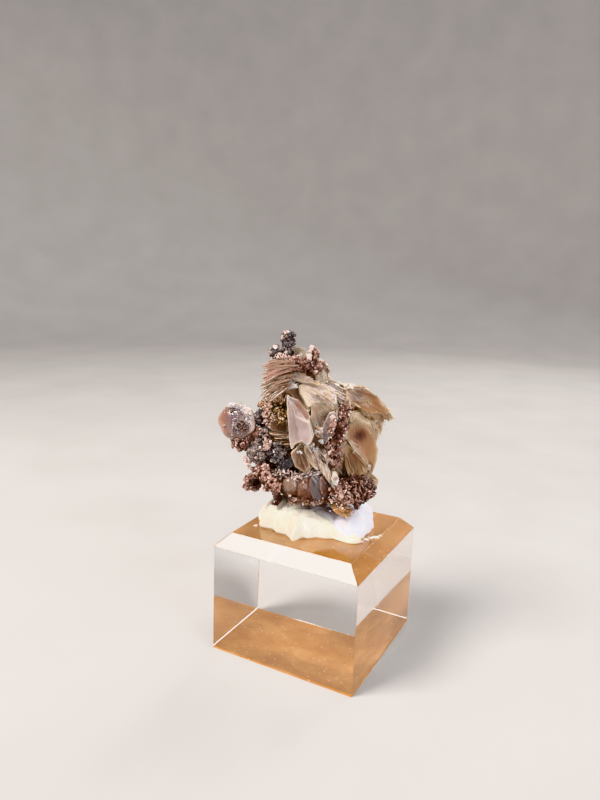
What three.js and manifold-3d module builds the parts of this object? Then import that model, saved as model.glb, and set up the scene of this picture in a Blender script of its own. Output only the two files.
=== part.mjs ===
// A small calcite specimen: a cluster of honey-brown plates overgrown by copper-red and black crusts,
// pressed into white mineral tack on a clear bevelled block with a tan film under it. Millimetres, +Z
// up. The origin is the middle of the underside, where the block stands.

import * as THREE from "three";
import { mergeVertices } from "three/addons/utils/BufferGeometryUtils.js";
import Module from "manifold-3d";

const wasm = await Module();
wasm.setup();

// Driving dimensions of the display block
const BLOCK_SIDE = 31.75;
const BLOCK_TOP = 25.4;
const BEVEL = 2.6;
const FILM_THICK = 0.4;
const FILM_INSET = 0.3;

// The specimen's show side is turned this far from the block's front. In its own frame +X is to the
// right of the show side, +Y is into its depth, and +Z is up from the top of the block.
const SHOW_SIDE_TURN = 25.5;

// Neighbouring pieces stop this far from each other.
const CLEARANCE = 0.3;

const degrees = THREE.MathUtils.degToRad;

// A closed geometry as a solid, with its shared corners merged.
function toSolid(geometry) {
  const bare = new THREE.BufferGeometry();
  bare.setAttribute("position", geometry.getAttribute("position"));
  if (geometry.index) bare.setIndex(geometry.index);
  const merged = mergeVertices(bare, 1e-4);
  return new wasm.Manifold(
    new wasm.Mesh({
      numProp: 3,
      vertProperties: new Float32Array(merged.attributes.position.array),
      triVerts: new Uint32Array(merged.index.array),
    }),
  );
}

// A solid as a flat-shaded geometry.
function toGeometry(solid) {
  const { numProp, vertProperties, triVerts } = solid.getMesh();
  const corners = [];
  for (let i = 0; i < vertProperties.length; i += numProp) {
    corners.push(...vertProperties.subarray(i, i + 3));
  }
  const indexed = new THREE.BufferGeometry();
  indexed.setAttribute("position", new THREE.Float32BufferAttribute(corners, 3));
  indexed.setIndex([...triVerts]);
  const flat = indexed.toNonIndexed();
  flat.computeVertexNormals();
  return flat;
}

const joined = (solids) => wasm.Manifold.union(solids);

// Moves every corner of a geometry with change, which alters the vector it is given.
function reshape(geometry, change) {
  const corners = geometry.attributes.position;
  const p = new THREE.Vector3();
  for (let i = 0; i < corners.count; i++) {
    change(p.fromBufferAttribute(corners, i));
    corners.setXYZ(i, p.x, p.y, p.z);
  }
  return geometry;
}

// The direction a face looks in: azimuth 0 is the show side and 90 its right, and elevation is above the
// horizon.
function facing(azimuth, elevation) {
  const a = degrees(azimuth);
  const e = degrees(elevation);
  return new THREE.Vector3(Math.sin(a) * Math.cos(e), -Math.cos(a) * Math.cos(e), Math.sin(e));
}

// Moves a shape's middle to at and turns its Y axis along normal, with its X axis level before the spin
// in degrees.
function placement(at, normal, spin) {
  const y = normal.clone().normalize();
  const x = new THREE.Vector3(-y.y, y.x, 0).normalize().applyAxisAngle(y, degrees(spin));
  const z = new THREE.Vector3().crossVectors(x, y);
  return new THREE.Matrix4().makeBasis(x, y, z).setPosition(...at);
}

// A round calcite plate: an ellipse with half widths half, whose radius dips by bite between outward
// cusps. It thins from the middle to a sharper rim.
function disc(plate, grow) {
  const { at, normal, spin = 0, half, thick = 0.9, cusps = 5, bite = 0.1, seed = 1, sides = 12 } = plate;
  const middle = thick / 2 + grow;
  const rim = thick / 4 + grow;
  const profile = [[0, -middle], [1, -rim], [1, rim], [0, middle]].map(([r, y]) => new THREE.Vector2(r, y));
  const shape = reshape(new THREE.LatheGeometry(profile, sides), (p) => {
    const angle = Math.atan2(p.z, p.x);
    const dip = bite * Math.abs(Math.sin((cusps * angle) / 2 + seed));
    const reach = 1 - dip + 0.5 * bite * Math.sin(2 * angle + 2.3 * seed);
    p.set(p.x * (half[0] * reach + grow), p.y, p.z * (half[1] * reach + grow));
  });
  return toSolid(shape.applyMatrix4(placement(at, normal, spin)));
}

// A flat plate with straight edges: [x, z] corners as they show from the show side, on the plane that
// faces normal and has its middle at depth y. The plate is deep millimetres thick behind that plane.
function sheet({ corners, y, normal, deep }, grow) {
  const middle = corners.reduce((sum, [x, z]) => sum.add(new THREE.Vector3(x, y, z)), new THREE.Vector3());
  middle.divideScalar(corners.length);
  const place = placement(middle.toArray(), normal, 0);
  const back = place.clone().invert();
  const flat = corners.map(([x, z]) => {
    const slope = ((x - middle.x) * normal.x + (z - middle.z) * normal.z) / normal.y;
    const point = new THREE.Vector3(x, y - slope, z).applyMatrix4(back);
    return new THREE.Vector2(point.x, -point.z);
  });
  const turn = THREE.ShapeUtils.isClockWise(flat) ? -1 : 1;
  const outward = (from, to) => {
    return new THREE.Vector2(to.y - from.y, from.x - to.x).normalize().multiplyScalar(turn);
  };
  const outline = flat.map((point, i) => {
    const before = outward(flat.at(i - 1), point);
    const after = outward(point, flat[(i + 1) % flat.length]);
    const sharpness = Math.max(1 + before.dot(after), 0.35);
    return point.clone().addScaledVector(before.add(after), grow / sharpness);
  });
  const depth = deep + 2 * grow;
  const shape = new THREE.ExtrudeGeometry(new THREE.Shape(outline), { depth, bevelEnabled: false });
  shape.translate(0, 0, -deep - grow).rotateX(degrees(-90));
  return toSolid(shape.applyMatrix4(place));
}

// A rough lump: a faceted ball with half widths half, whose radius wobbles by rough.
function lump({ at, half, rough = 0.1, seed = 1, detail = 1 }, grow) {
  const shape = reshape(new THREE.IcosahedronGeometry(1, detail), (p) => {
    p.normalize();
    const wave = Math.sin(4 * p.x + seed) * Math.cos(4 * p.y - seed) + Math.sin(4 * p.z + 2 * seed);
    const reach = 1 + rough * wave;
    p.set(p.x * (half[0] * reach + grow), p.y * (half[1] * reach + grow), p.z * (half[2] * reach + grow));
  });
  return toSolid(shape.translate(...at));
}

// Eight-faced crystals of half width size, count of them spaced evenly round a lump, each turned
// differently.
function studs({ at, half, seed = 1 }, count, size, grow) {
  return Array.from({ length: count }, (_, i) => {
    const up = 1 - (2 * i + 1) / count;
    const level = Math.sqrt(1 - up * up);
    const around = 2.4 * i + seed;
    const out = new THREE.Vector3(level * Math.cos(around), level * Math.sin(around), up);
    const middle = out.multiplyScalar(0.92).multiply(new THREE.Vector3(...half)).add(new THREE.Vector3(...at));
    const shape = new THREE.OctahedronGeometry(size * (1 + 0.3 * Math.sin(5 * i)) + 1.3 * grow);
    shape.applyMatrix4(placement(middle.toArray(), facing(97 * i, 35 * Math.sin(i)), 40 * i));
    return toSolid(shape);
  });
}

// A crust: rough lumps grown together, each set with its own number of small crystals.
function crust(lumps, size, grow) {
  const parts = lumps.flatMap(({ crystals = 3, ...one }) => {
    return [lump(one, grow), ...studs(one, crystals, size, grow)];
  });
  return joined(parts);
}

// The heart of the cluster is one smoky calcite mass with straight-edged plates that overlap on its show
// side and on its back, and thin round shelves in the hollow on its left.
const TOP_PLATE = [
  [-8.8, 31.1], [-7.9, 31.9], [-2.1, 31.2], [-0.1, 30.1], [2.2, 29.3], [1.3, 27.9], [-1.4, 27.2],
  [-3.6, 27.4], [-6.2, 28.9],
];
const CENTRE_PLATE = [
  [-5.4, 29.2], [-2.8, 29.8], [-0.2, 28.9], [0.8, 27.3], [-0.1, 25.6], [-1, 24.6], [-2.8, 24.6],
  [-4.1, 26],
];
const SMOKY_PLATE = [
  [-2.6, 27], [-0.2, 27.6], [1.9, 27.7], [1.4, 25.2], [0.3, 22.9], [-0.6, 21.1], [-1.7, 22.1],
];
const CURVED_RIM = [[-2.9, 24.5], [-1.7, 21.9], [0.4, 20.3], [0.2, 19.5], [-1.6, 19.8], [-2.7, 22.1]];
const RIGHT_PLATE = [[-0.3, 30.4], [2.2, 30.1], [4.6, 29.1], [5.2, 26.9], [3.4, 26.6], [1.3, 26.9]];
const LOW_RHOMB = [
  [-6, 18.5], [-4.3, 19.2], [-2.2, 18.2], [-1.6, 15.9], [-2.8, 13.8], [-4.6, 14.4], [-5.8, 16.1],
];
const LONG_BLADE = [[-3.6, 17.9], [-2.2, 17.5], [0.4, 14.7], [3.1, 9.7], [2.1, 9.6], [-0.6, 13.6]];
const SMALL_RHOMB = [[2.1, 14.1], [2.9, 14.2], [3.5, 12.8], [3, 11.3], [2.4, 12.2]];
const HOLLOW_SILL = [[-11.3, 23.1], [-7.6, 23.9], [-7, 22.2], [-8.5, 21.6], [-10.8, 21.6]];
const BACK_HIGH = [[-8, 27], [-5.4, 30.8], [-1.2, 31.4], [2, 28.6], [1.4, 23.4], [-3, 20.6], [-7, 22.4]];
const BACK_RIGHT = [[-1, 22], [2.8, 26], [6.8, 24.4], [7.4, 17.6], [4.6, 12.4], [0.6, 14]];
const BACK_LEFT = [[-9.4, 19.8], [-6.4, 23.2], [-2.2, 21.6], [-1.8, 15], [-5.2, 12.6], [-8.8, 14.6]];
function calciteHeart(grow) {
  const masses = [
    { at: [-1, 0.9, 19.2], half: [7.8, 6.4, 12], rough: 0.06, seed: 2 },
    { at: [-5.6, 0.8, 26.2], half: [4.6, 4.6, 5.4], rough: 0.06, seed: 5 },
    { at: [-0.8, -2.6, 15.6], half: [3.6, 3, 3.8], rough: 0.06, seed: 7 },
  ];
  const plates = [
    { corners: TOP_PLATE, y: -3.6, normal: facing(8, 35), deep: 1.6 },
    { corners: CENTRE_PLATE, y: -5.1, normal: facing(4, 18), deep: 1.8 },
    { corners: SMOKY_PLATE, y: -5.8, normal: facing(2, 4), deep: 1.8 },
    { corners: CURVED_RIM, y: -5.7, normal: facing(-10, -6), deep: 1.4 },
    { corners: RIGHT_PLATE, y: -0.9, normal: facing(24, 40), deep: 1.4 },
    { corners: LOW_RHOMB, y: -6.4, normal: facing(-16, -6), deep: 2.4 },
    { corners: LONG_BLADE, y: -6.5, normal: facing(34, 0), deep: 1.8 },
    { corners: SMALL_RHOMB, y: -7, normal: facing(10, 0), deep: 3.4 },
    { corners: HOLLOW_SILL, y: -3.7, normal: facing(-14, 30), deep: 1.4 },
    { corners: BACK_HIGH, y: 5, normal: facing(8, -16), deep: 1.4 },
    { corners: BACK_RIGHT, y: 5, normal: facing(-22, 0), deep: 1.6 },
    { corners: BACK_LEFT, y: 4.4, normal: facing(20, 8), deep: 1.6 },
  ];
  const shelves = [
    { at: [-8, -1.6, 22.2], normal: facing(-20, 76), half: [3.6, 3.9], seed: 2 },
    { at: [-8, -1.9, 19.8], normal: facing(-20, 70), half: [3.6, 3.9], seed: 3 },
  ];
  return joined([
    ...masses.map((one) => lump(one, grow)),
    ...plates.map((one) => sheet(one, grow)),
    ...shelves.map((one) => disc(one, grow)),
  ]);
}

// The right wing: big plates with notched edges, stacked one in front of the other on a narrow root.
const WING_TOP = [
  [4.4, 30.5], [5.7, 30.3], [8.3, 30], [9.6, 29], [10.7, 27.6], [12.2, 26.1], [13.3, 24.6], [11.7, 25],
  [10.8, 24.2], [7, 24.5], [5.2, 26],
];
const WING_MIDDLE = [
  [5.2, 25.6], [10.9, 25.4], [13.3, 24.4], [12.1, 23.4], [12.1, 22], [11.2, 21.5], [12, 20.4],
  [10.9, 19.5], [11.2, 17.6], [9.2, 18.3], [6, 20.5], [4.4, 20.5],
];
const WING_SLOPE = [
  [4.5, 21], [7.2, 21.8], [10.1, 20.5], [11, 17.9], [11.2, 15.8], [10.7, 12.9], [9.7, 13.4], [8, 15.3],
  [6.1, 17.4],
];
const WING_LOW = [
  [4.4, 18.2], [5.6, 17.2], [8, 15.2], [9.8, 13.5], [9, 11.3], [7.2, 10.9], [5, 13.1], [4, 15.7],
];
const WING_TAIL = [[9, 16.6], [11.1, 16.2], [11, 13.1], [12.1, 10.7], [11.1, 8.8], [9.1, 9.6], [8.2, 12.5]];
function calciteRightWing(grow) {
  const root = { at: [8.4, 0.6, 19.6], half: [2.6, 3, 8.8], rough: 0.05, seed: 3 };
  const plates = [
    { corners: WING_TOP, y: -1.5, normal: facing(16, 20), deep: 1.2 },
    { corners: WING_MIDDLE, y: -1.2, normal: facing(20, 6), deep: 1.2 },
    { corners: WING_SLOPE, y: -2.6, normal: facing(10, 4), deep: 1.3 },
    { corners: WING_LOW, y: -3.3, normal: facing(-4, 0), deep: 1.7 },
    { corners: WING_TAIL, y: -1.3, normal: facing(24, -6), deep: 1.2 },
  ];
  const backs = [
    { at: [9.9, 2, 24.2], normal: facing(62, 14), half: [3.4, 4.4], seed: 6 },
    { at: [9.4, 2.6, 16.6], normal: facing(75, -4), half: [3.2, 5.4], seed: 7 },
  ];
  return joined([
    lump(root, grow),
    ...plates.map((one) => sheet(one, grow)),
    ...backs.map((one) => disc(one, grow)),
  ]);
}

// The crown of thin plates: a fan at the upper left, seen on its edges like the leaves of a book, and
// two flakes.
const FAN = { leaves: 5, from: [-6, -1, 34.4], drop: 1.05, slope: 8, step: 5, reach: 3.2 };
const BACK_FLAKE = [[-7.3, 37.3], [-5.8, 37.8], [-4, 37.1], [-3.8, 35], [-5.6, 33.6], [-7.2, 34]];
const RIGHT_FLAKE = [[-2.3, 34.4], [-0.8, 35], [0.3, 32.7], [0.3, 31], [-1.4, 30.6], [-2.6, 32.7]];
function calciteCrown(grow) {
  const roots = [
    { at: [-6, 0.4, 32.8], half: [2.8, 3.2, 2.9], rough: 0.06, seed: 4 },
    { at: [-3.2, 1.4, 32.8], half: [3.6, 2.8, 2.8], rough: 0.06, seed: 6 },
  ];
  const fan = Array.from({ length: FAN.leaves }, (_, i) => {
    const slope = degrees(FAN.slope + FAN.step * i);
    const [x, y, z] = FAN.from;
    return {
      at: [x - FAN.reach * Math.cos(slope), y - 0.15 * i, z - FAN.drop * i - FAN.reach * Math.sin(slope)],
      normal: new THREE.Vector3(-Math.sin(slope), -0.24, Math.cos(slope)),
      half: [3.9, 3.8],
      thick: 1.2,
      seed: i + 1,
      sides: 10,
    };
  });
  const flakes = [
    { corners: BACK_FLAKE, y: 0.8, normal: facing(-6, 24), deep: 1 },
    { corners: RIGHT_FLAKE, y: -0.2, normal: facing(16, 14), deep: 1.2 },
  ];
  return joined([
    ...roots.map((one) => lump(one, grow)),
    ...fan.map((one) => disc(one, grow)),
    ...flakes.map((one) => sheet(one, grow)),
    disc({ at: [-2.8, 3, 34.4], normal: facing(170, 30), half: [3.4, 2.6], seed: 4 }, grow),
  ]);
}

// The pale pearly blade in the middle of the show side, with a second blade that opens from its tip like
// a V.
const PEARLY_FRONT = [
  [-7.2, 29.2], [-6.5, 28.9], [-5.1, 25.5], [-2.6, 24], [-1.9, 22.6], [-1.7, 20.8], [-2.2, 19.3],
  [-4.7, 19.9], [-6.1, 19.9], [-6.7, 24.9],
];
const PEARLY_BEHIND = [
  [-7.2, 29], [-5.3, 28.8], [-3.5, 26.8], [-2.6, 24.6], [-2.7, 23.5], [-4.9, 25.2], [-6, 27.3],
];
function pearlyBlade(grow) {
  return joined([
    sheet({ corners: PEARLY_FRONT, y: -8.4, normal: facing(-12, 0), deep: 3.4 }, grow),
    sheet({ corners: PEARLY_BEHIND, y: -7.4, normal: facing(14, 4), deep: 2.2 }, grow),
  ]);
}

// The ribbed crystal low on the show side, shaped like a shell: upright slices side by side.
const SHELL = { middle: [-3, -5, 10.7], half: [4, 3, 3.3], slices: 5 };
function calciteLowerShell(grow) {
  const { middle, half, slices } = SHELL;
  const pieces = Array.from({ length: slices }, (_, i) => {
    const across = (2 * i) / (slices - 1) - 1;
    const tall = Math.sqrt(1 - 0.5 * across * across);
    return {
      at: [middle[0] + across * half[0], middle[1] + 0.9 * across * across, middle[2]],
      normal: facing(90 - 14 * across, -16 * across),
      half: [half[1] * tall, half[2] * tall],
      thick: 2.6,
      bite: 0.04,
      seed: i + 1,
      sides: 10,
    };
  });
  return joined(pieces.map((one) => disc(one, grow)));
}

// The rounded lens of pink calcite that stands out on the left, with pale frosting over its upper right.
const LENS = { at: [-17.5, -2.8, 22.2], radius: 4.2, thick: 4.4 };
function calciteLeftLens(grow) {
  const arc = [-90, -60, -30, 0, 30, 60, 90].map((rise) => {
    const r = Math.abs(rise) === 90 ? 0 : (LENS.radius + grow) * Math.cos(degrees(rise));
    return new THREE.Vector2(r, (LENS.thick / 2 + grow) * Math.sin(degrees(rise)));
  });
  const ball = new THREE.LatheGeometry(arc, 14).applyMatrix4(placement(LENS.at, facing(-34, 10), 0));
  const frost = { at: [-16.4, -3, 23.4], half: [3.1, 2.6, 2.9], crystals: 8, seed: 3 };
  return joined([toSolid(ball), crust([frost], 0.6, grow)]);
}

// The small honey-yellow rhomb at the foot, half sunk in the tack.
function calciteFootChip(grow) {
  const chip = new THREE.OctahedronGeometry(1).scale(2.4 + 2 * grow, 2 + 2 * grow, 1.3 + grow);
  return toSolid(chip.rotateY(degrees(12)).translate(4.4, -5, 5.7));
}

// The pink and copper grains under the lens.
function copperLensCrust(grow) {
  const lumps = [
    { at: [-16.4, -3.4, 18.5], half: [2.2, 2.1, 1.7] },
    { at: [-14.2, -3.3, 20.3], half: [1.9, 1.8, 1.8], seed: 2 },
  ];
  return crust(lumps, 0.6, grow);
}

// The black crust on the left, with one sharp eight-faced crystal.
function blackLeftCrust(grow) {
  const lumps = [
    { at: [-12.8, -3.8, 16.8], half: [2.5, 2.5, 2.6], crystals: 5 },
    { at: [-9, -4.2, 16.8], half: [2.3, 2.4, 2.4], seed: 2 },
    { at: [-12.6, -2.6, 23.4], half: [1.6, 1.6, 1.9], seed: 3 },
    { at: [-11.6, -2.7, 20.3], half: [1.8, 1.8, 2.1], crystals: 0, seed: 4 },
    { at: [-9.4, -0.8, 17.2], half: [3.2, 3, 3.2], crystals: 0, seed: 5 },
  ];
  const sharp = new THREE.OctahedronGeometry(2.1 + 1.5 * grow);
  sharp.applyMatrix4(placement([-7.5, -5.5, 15.2], facing(-20, 62), 24));
  return joined([crust(lumps, 0.65, grow), toSolid(sharp)]);
}

// The black finger at the very top, with a small knob beside it.
function blackCrownFinger(grow) {
  const lumps = [
    { at: [-7.7, -1, 38.5], half: [1.3, 1.2, 2.4] },
    { at: [-10, -1.4, 36.6], half: [1.1, 1.1, 1.3], crystals: 2, seed: 2 },
    { at: [-8.6, -1, 36.1], half: [2, 1.6, 1.2], crystals: 0, seed: 3 },
  ];
  return crust(lumps, 0.5, grow);
}

// The black crust on the back.
function blackBackCrust(grow) {
  const lumps = [
    { at: [-9.2, 4.2, 21.6], half: [2.6, 2.6, 2.9], crystals: 4 },
    { at: [-8.9, 4.2, 25.4], half: [2, 2.2, 2], seed: 2 },
  ];
  return crust(lumps, 0.65, grow);
}

// The patch of gold, green and black grains above the hollow, with one round bead on its left.
function goldGreenPatch(grow) {
  const lumps = [
    { at: [-9.4, -3.6, 25.9], half: [2.7, 2.4, 2.9], crystals: 6 },
    { at: [-12.2, -3.1, 26.6], half: [1.1, 1, 1.1], crystals: 0, rough: 0.03 },
  ];
  return crust(lumps, 0.65, grow);
}

// The copper-red ridge that runs down between the heart and the right wing.
function copperRidge(grow) {
  const lumps = [
    { at: [3.9, -3.9, 26.2], half: [1.5, 2, 2.1] },
    { at: [3.1, -4.7, 23.3], half: [1.7, 2.1, 2.4], seed: 2 },
    { at: [2.4, -4.9, 20], half: [1.9, 2.3, 2.4], seed: 3 },
    { at: [2.4, -4.6, 16.8], half: [2, 2.4, 2.4], crystals: 0, seed: 4 },
  ];
  return crust(lumps, 0.6, grow);
}

// The copper-red crust of the crown, with a tip that stands up on its right.
function copperCrownCrust(grow) {
  const lumps = [
    { at: [-6.8, -2.4, 35], half: [1.9, 1.8, 1.2], crystals: 2 },
    { at: [-4.4, -2.4, 34.5], half: [2.2, 1.9, 1.6], seed: 2 },
    { at: [-2.4, -2, 34], half: [1.6, 1.6, 1.6], crystals: 2, seed: 3 },
    { at: [-2.4, -1.8, 36.4], half: [1, 1, 1.9], crystals: 2, seed: 4 },
  ];
  return crust(lumps, 0.5, grow);
}

// The copper-red crust round the base: lumps at the lower left with a short prong that stands in the
// tack, a bed under the whole cluster, the round lump at the lower right, and the rest on the back.
function copperBaseCrust(grow) {
  const lumps = [
    { at: [-13.8, -3.3, 9.9], half: [2.1, 1.9, 1.9] },
    { at: [-12, -4, 12.6], half: [2.2, 2.2, 2], seed: 2 },
    { at: [-9.9, -4.6, 10.6], half: [2.2, 2.3, 2.2], seed: 3 },
    { at: [-8.9, -4, 7.2], half: [1.1, 1.1, 2], crystals: 0, seed: 4 },
    { at: [-9.2, 0.4, 11.4], half: [3.8, 4.4, 3.6], crystals: 0, seed: 5 },
    { at: [-0.8, 0.6, 8.4], half: [8.4, 6.2, 3.4], crystals: 0, seed: 6 },
    { at: [7.4, -3.6, 9.5], half: [3.7, 3.3, 3.2], crystals: 6, seed: 7 },
    { at: [4.2, -4.6, 9.6], half: [2.1, 2, 2.3], crystals: 2, seed: 8 },
    { at: [-2.4, 5.8, 11], half: [4.4, 3, 3.4], seed: 9 },
    { at: [4.8, 4.4, 10.4], half: [3.6, 3.2, 2.9], seed: 10 },
  ];
  return crust(lumps, 0.6, grow);
}

// The white mineral tack: lumps of putty pressed together, and flat where they sit on the block.
function mineralTack() {
  const lobes = [
    { at: [-8.2, -0.8, 2.6], half: [4.6, 6.2, 4.2], detail: 2 },
    { at: [-1.6, -2.4, 2.2], half: [7.4, 5.4, 3.8], detail: 2 },
    { at: [5.6, -4.4, 1.2], half: [4, 4.2, 2.2] },
    { at: [5.4, 2.4, 2.6], half: [4.9, 6, 3.9] },
    { at: [-3, 4, 2.4], half: [6.2, 4.8, 3.6] },
    { at: [-5.5, -7.2, 0.4], half: [0.9, 1.9, 1] },
  ];
  const putty = joined(lobes.map((one, i) => lump({ rough: 0.03, seed: i + 1, ...one }, 0)));
  const above = new THREE.BoxGeometry(60, 60, 30).translate(0, 0, 15 + CLEARANCE);
  return putty.intersect(toSolid(above));
}

// The clear block: a square prism whose four upper edges are bevelled at 45 degrees. It stands on the
// film.
function acrylicBlock() {
  const outer = BLOCK_SIDE * Math.SQRT1_2;
  const inner = (BLOCK_SIDE - 2 * BEVEL) * Math.SQRT1_2;
  const shoulder = BLOCK_TOP - BEVEL;
  const corners = [
    [0, FILM_THICK], [outer, FILM_THICK], [outer, shoulder], [inner, BLOCK_TOP], [0, BLOCK_TOP],
  ];
  const profile = corners.map(([r, z]) => new THREE.Vector2(r, z));
  return new THREE.LatheGeometry(profile, 4).rotateX(degrees(90)).rotateZ(degrees(45));
}

function material(color, roughness, metalness = 0, opacity = 1) {
  return new THREE.MeshStandardMaterial({ color, roughness, metalness, opacity, transparent: opacity < 1 });
}

function namedMesh(name, geometry, look) {
  const mesh = new THREE.Mesh(geometry, look);
  mesh.name = name;
  return mesh;
}

// The pieces in the order they are cut: each one stops short of all that come before it.
const honey = material(0xb89a72, 0.3, 0, 0.85);
const pearl = material(0xe2d2d0, 0.35);
const copper = material(0x7c4a3c, 0.35, 0.5);
const black = material(0x2c2a2e, 0.3, 0.3);
const pieces = [
  ["calcite_heart", calciteHeart, honey],
  ["calcite_right_wing", calciteRightWing, honey],
  ["calcite_crown", calciteCrown, honey],
  ["pearly_blade", pearlyBlade, pearl],
  ["calcite_lower_shell", calciteLowerShell, material(0xb7a6a0, 0.35)],
  ["calcite_left_lens", calciteLeftLens, pearl],
  ["calcite_foot_chip", calciteFootChip, material(0xcfa45a, 0.25, 0, 0.8)],
  ["copper_lens_crust", copperLensCrust, copper],
  ["black_left_crust", blackLeftCrust, black],
  ["black_crown_finger", blackCrownFinger, black],
  ["black_back_crust", blackBackCrust, black],
  ["gold_green_patch", goldGreenPatch, material(0x9a7a34, 0.4, 0.3)],
  ["copper_ridge", copperRidge, copper],
  ["copper_crown_crust", copperCrownCrust, copper],
  ["copper_base_crust", copperBaseCrust, copper],
  ["mineral_tack", mineralTack, material(0xf4efe6, 0.6)],
];

const specimen = new THREE.Group();
specimen.position.z = BLOCK_TOP;
specimen.rotation.z = degrees(SHOW_SIDE_TURN);
const kept = [];
for (const [name, shape, look] of pieces) {
  const whole = kept.length > 0 ? shape(0).subtract(joined(kept)) : shape(0);
  const [largest] = whole.decompose().sort((a, b) => b.volume() - a.volume());
  specimen.add(namedMesh(name, toGeometry(largest), look));
  kept.push(shape(CLEARANCE));
}

const film = new THREE.BoxGeometry(BLOCK_SIDE - 2 * FILM_INSET, BLOCK_SIDE - 2 * FILM_INSET, FILM_THICK);
film.translate(0, 0, FILM_THICK / 2);

const model = new THREE.Group();
model.add(namedMesh("underside_film", film, material(0xc79a5e, 0.6)));
model.add(namedMesh("acrylic_block", acrylicBlock(), material(0xf4f6f6, 0.05, 0, 0.35)));
model.add(specimen);

export default model;
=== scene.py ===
# The finish of a small calcite specimen on its clear display block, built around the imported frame. The
# block stands on the tan film under it, the tack sits on the block, and the grown-together crystals and
# crusts stand in the tack.
import math

import bpy
import numpy as np
from mathutils import Matrix, Vector


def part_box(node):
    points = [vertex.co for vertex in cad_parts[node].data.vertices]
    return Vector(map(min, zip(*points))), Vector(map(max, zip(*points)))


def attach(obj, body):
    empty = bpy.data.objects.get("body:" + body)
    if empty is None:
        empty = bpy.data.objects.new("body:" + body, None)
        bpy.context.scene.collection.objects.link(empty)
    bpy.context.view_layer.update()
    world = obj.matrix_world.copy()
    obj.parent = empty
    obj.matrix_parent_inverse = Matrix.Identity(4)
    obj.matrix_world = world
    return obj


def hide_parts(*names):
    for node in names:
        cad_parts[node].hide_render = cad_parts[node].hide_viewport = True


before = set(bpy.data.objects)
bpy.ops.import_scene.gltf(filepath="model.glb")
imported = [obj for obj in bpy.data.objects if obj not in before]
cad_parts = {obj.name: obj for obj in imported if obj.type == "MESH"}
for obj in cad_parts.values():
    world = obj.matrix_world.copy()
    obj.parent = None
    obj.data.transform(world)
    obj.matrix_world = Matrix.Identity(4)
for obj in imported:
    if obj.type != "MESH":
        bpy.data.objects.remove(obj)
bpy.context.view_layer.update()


# The display block is one prism of cast acrylic with a 45 degree bevel round its top. Every face is
# polished, so its edges are only barely rounded. It stands on its film, and the tack is pressed onto its
# top.
MM = 0.001
BLOCK_LOW, BLOCK_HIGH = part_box("acrylic_block")
BLOCK_BEVEL = 2.6 * MM
EDGE_ROUNDING = 0.16 * MM
MARKS = ("tone", "rim_highlight", "growth", "along")


def skin(rings):
    """Joins a stack of rings, an array (rings, points, 3), ring to ring with triangles, and closes the
    first and last rings on their middle points. The rings run anticlockwise as seen from the last one's
    side."""
    rows, columns, _ = rings.shape
    points = np.concatenate([rings.reshape(-1, 3), rings[:1].mean(axis=1), rings[-1:].mean(axis=1)])
    here = np.arange((rows - 1) * columns)
    beside = here - here % columns + (here + 1) % columns
    ring = np.arange(columns)
    after = (ring + 1) % columns
    top = (rows - 1) * columns
    first_middle = np.full(columns, rows * columns)
    triangles = np.concatenate([
        np.column_stack([here, beside, beside + columns]),
        np.column_stack([here, beside + columns, here + columns]),
        np.column_stack([after, ring, first_middle]),
        np.column_stack([top + ring, top + after, first_middle + 1]),
    ])
    return points, triangles


def new_piece(name, skins, crease=35):
    """One mesh from many closed skins, each (points in metres, triangles, marks). The marks are four
    numbers for each point, which the materials read, and zeros where a skin has none. Edges that turn by
    more than crease degrees stay sharp."""
    points, triangles, marks, start = [], [], [], 0
    for corners, faces, *given in skins:
        points.append(corners)
        triangles.append(faces + start)
        marks.append(given[0] if given else np.zeros((len(corners), len(MARKS))))
        start += len(corners)
    triangles = np.concatenate(triangles)
    mesh = bpy.data.meshes.new(name)
    mesh.vertices.add(start)
    mesh.vertices.foreach_set("co", np.concatenate(points).astype(np.float32).ravel())
    mesh.loops.add(triangles.size)
    mesh.loops.foreach_set("vertex_index", triangles.astype(np.int32).ravel())
    mesh.polygons.add(len(triangles))
    mesh.polygons.foreach_set("loop_start", np.arange(0, triangles.size, 3, dtype=np.int32))
    mesh.update(calc_edges=True)
    for label, values in zip(MARKS, np.concatenate(marks).T):
        mesh.attributes.new(label, "FLOAT", "POINT").data.foreach_set("value", values.astype(np.float32))
    mesh.polygons.foreach_set("use_smooth", np.ones(len(triangles), dtype=bool))
    mesh.set_sharp_from_angle(angle=math.radians(crease))
    piece = bpy.data.objects.new(name, mesh)
    bpy.context.scene.collection.objects.link(piece)
    return piece


def dress(piece, cad_node, look):
    """Gives a finished piece its material, hides its node so that the piece stands for it, and lets it ride
    with the specimen."""
    piece.data.materials.append(look)
    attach(piece, "root")
    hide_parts(cad_node)


def shader_of(look):
    """The principled shader of a material."""
    return next(one for one in look.node_tree.nodes if one.type == "BSDF_PRINCIPLED")


def node(tree, kind, inputs=(), **settings):
    """Adds a shader node of that kind. inputs pairs its sockets with values or with other nodes'
    outputs."""
    made = tree.nodes.new(kind if kind.startswith("Node") else "ShaderNode" + kind)
    for key, value in settings.items():
        setattr(made, key, value)
    for key, value in inputs:
        if isinstance(value, bpy.types.NodeSocket):
            tree.links.new(value, made.inputs[key])
        else:
            made.inputs[key].default_value = value
    return made


def new_look(name, inputs):
    """A material with one principled shader. Returns it with its tree and that shader."""
    look = bpy.data.materials.new(name)
    look.use_nodes = True
    shader = shader_of(look)
    for key, value in inputs:
        shader.inputs[key].default_value = value
    return look, look.node_tree, shader


def object_place(tree):
    """The shaded point's place in the object's own space."""
    return node(tree, "TexCoord").outputs["Object"]


def noise(tree, scale, detail, rough=0.5):
    """Soft noise from 0 to 1 over the object's own space, with scale waves per metre."""
    return node(tree, "TexNoise", [
        ("Vector", object_place(tree)), ("Scale", scale), ("Detail", detail), ("Roughness", rough),
    ]).outputs["Fac"]


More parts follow.
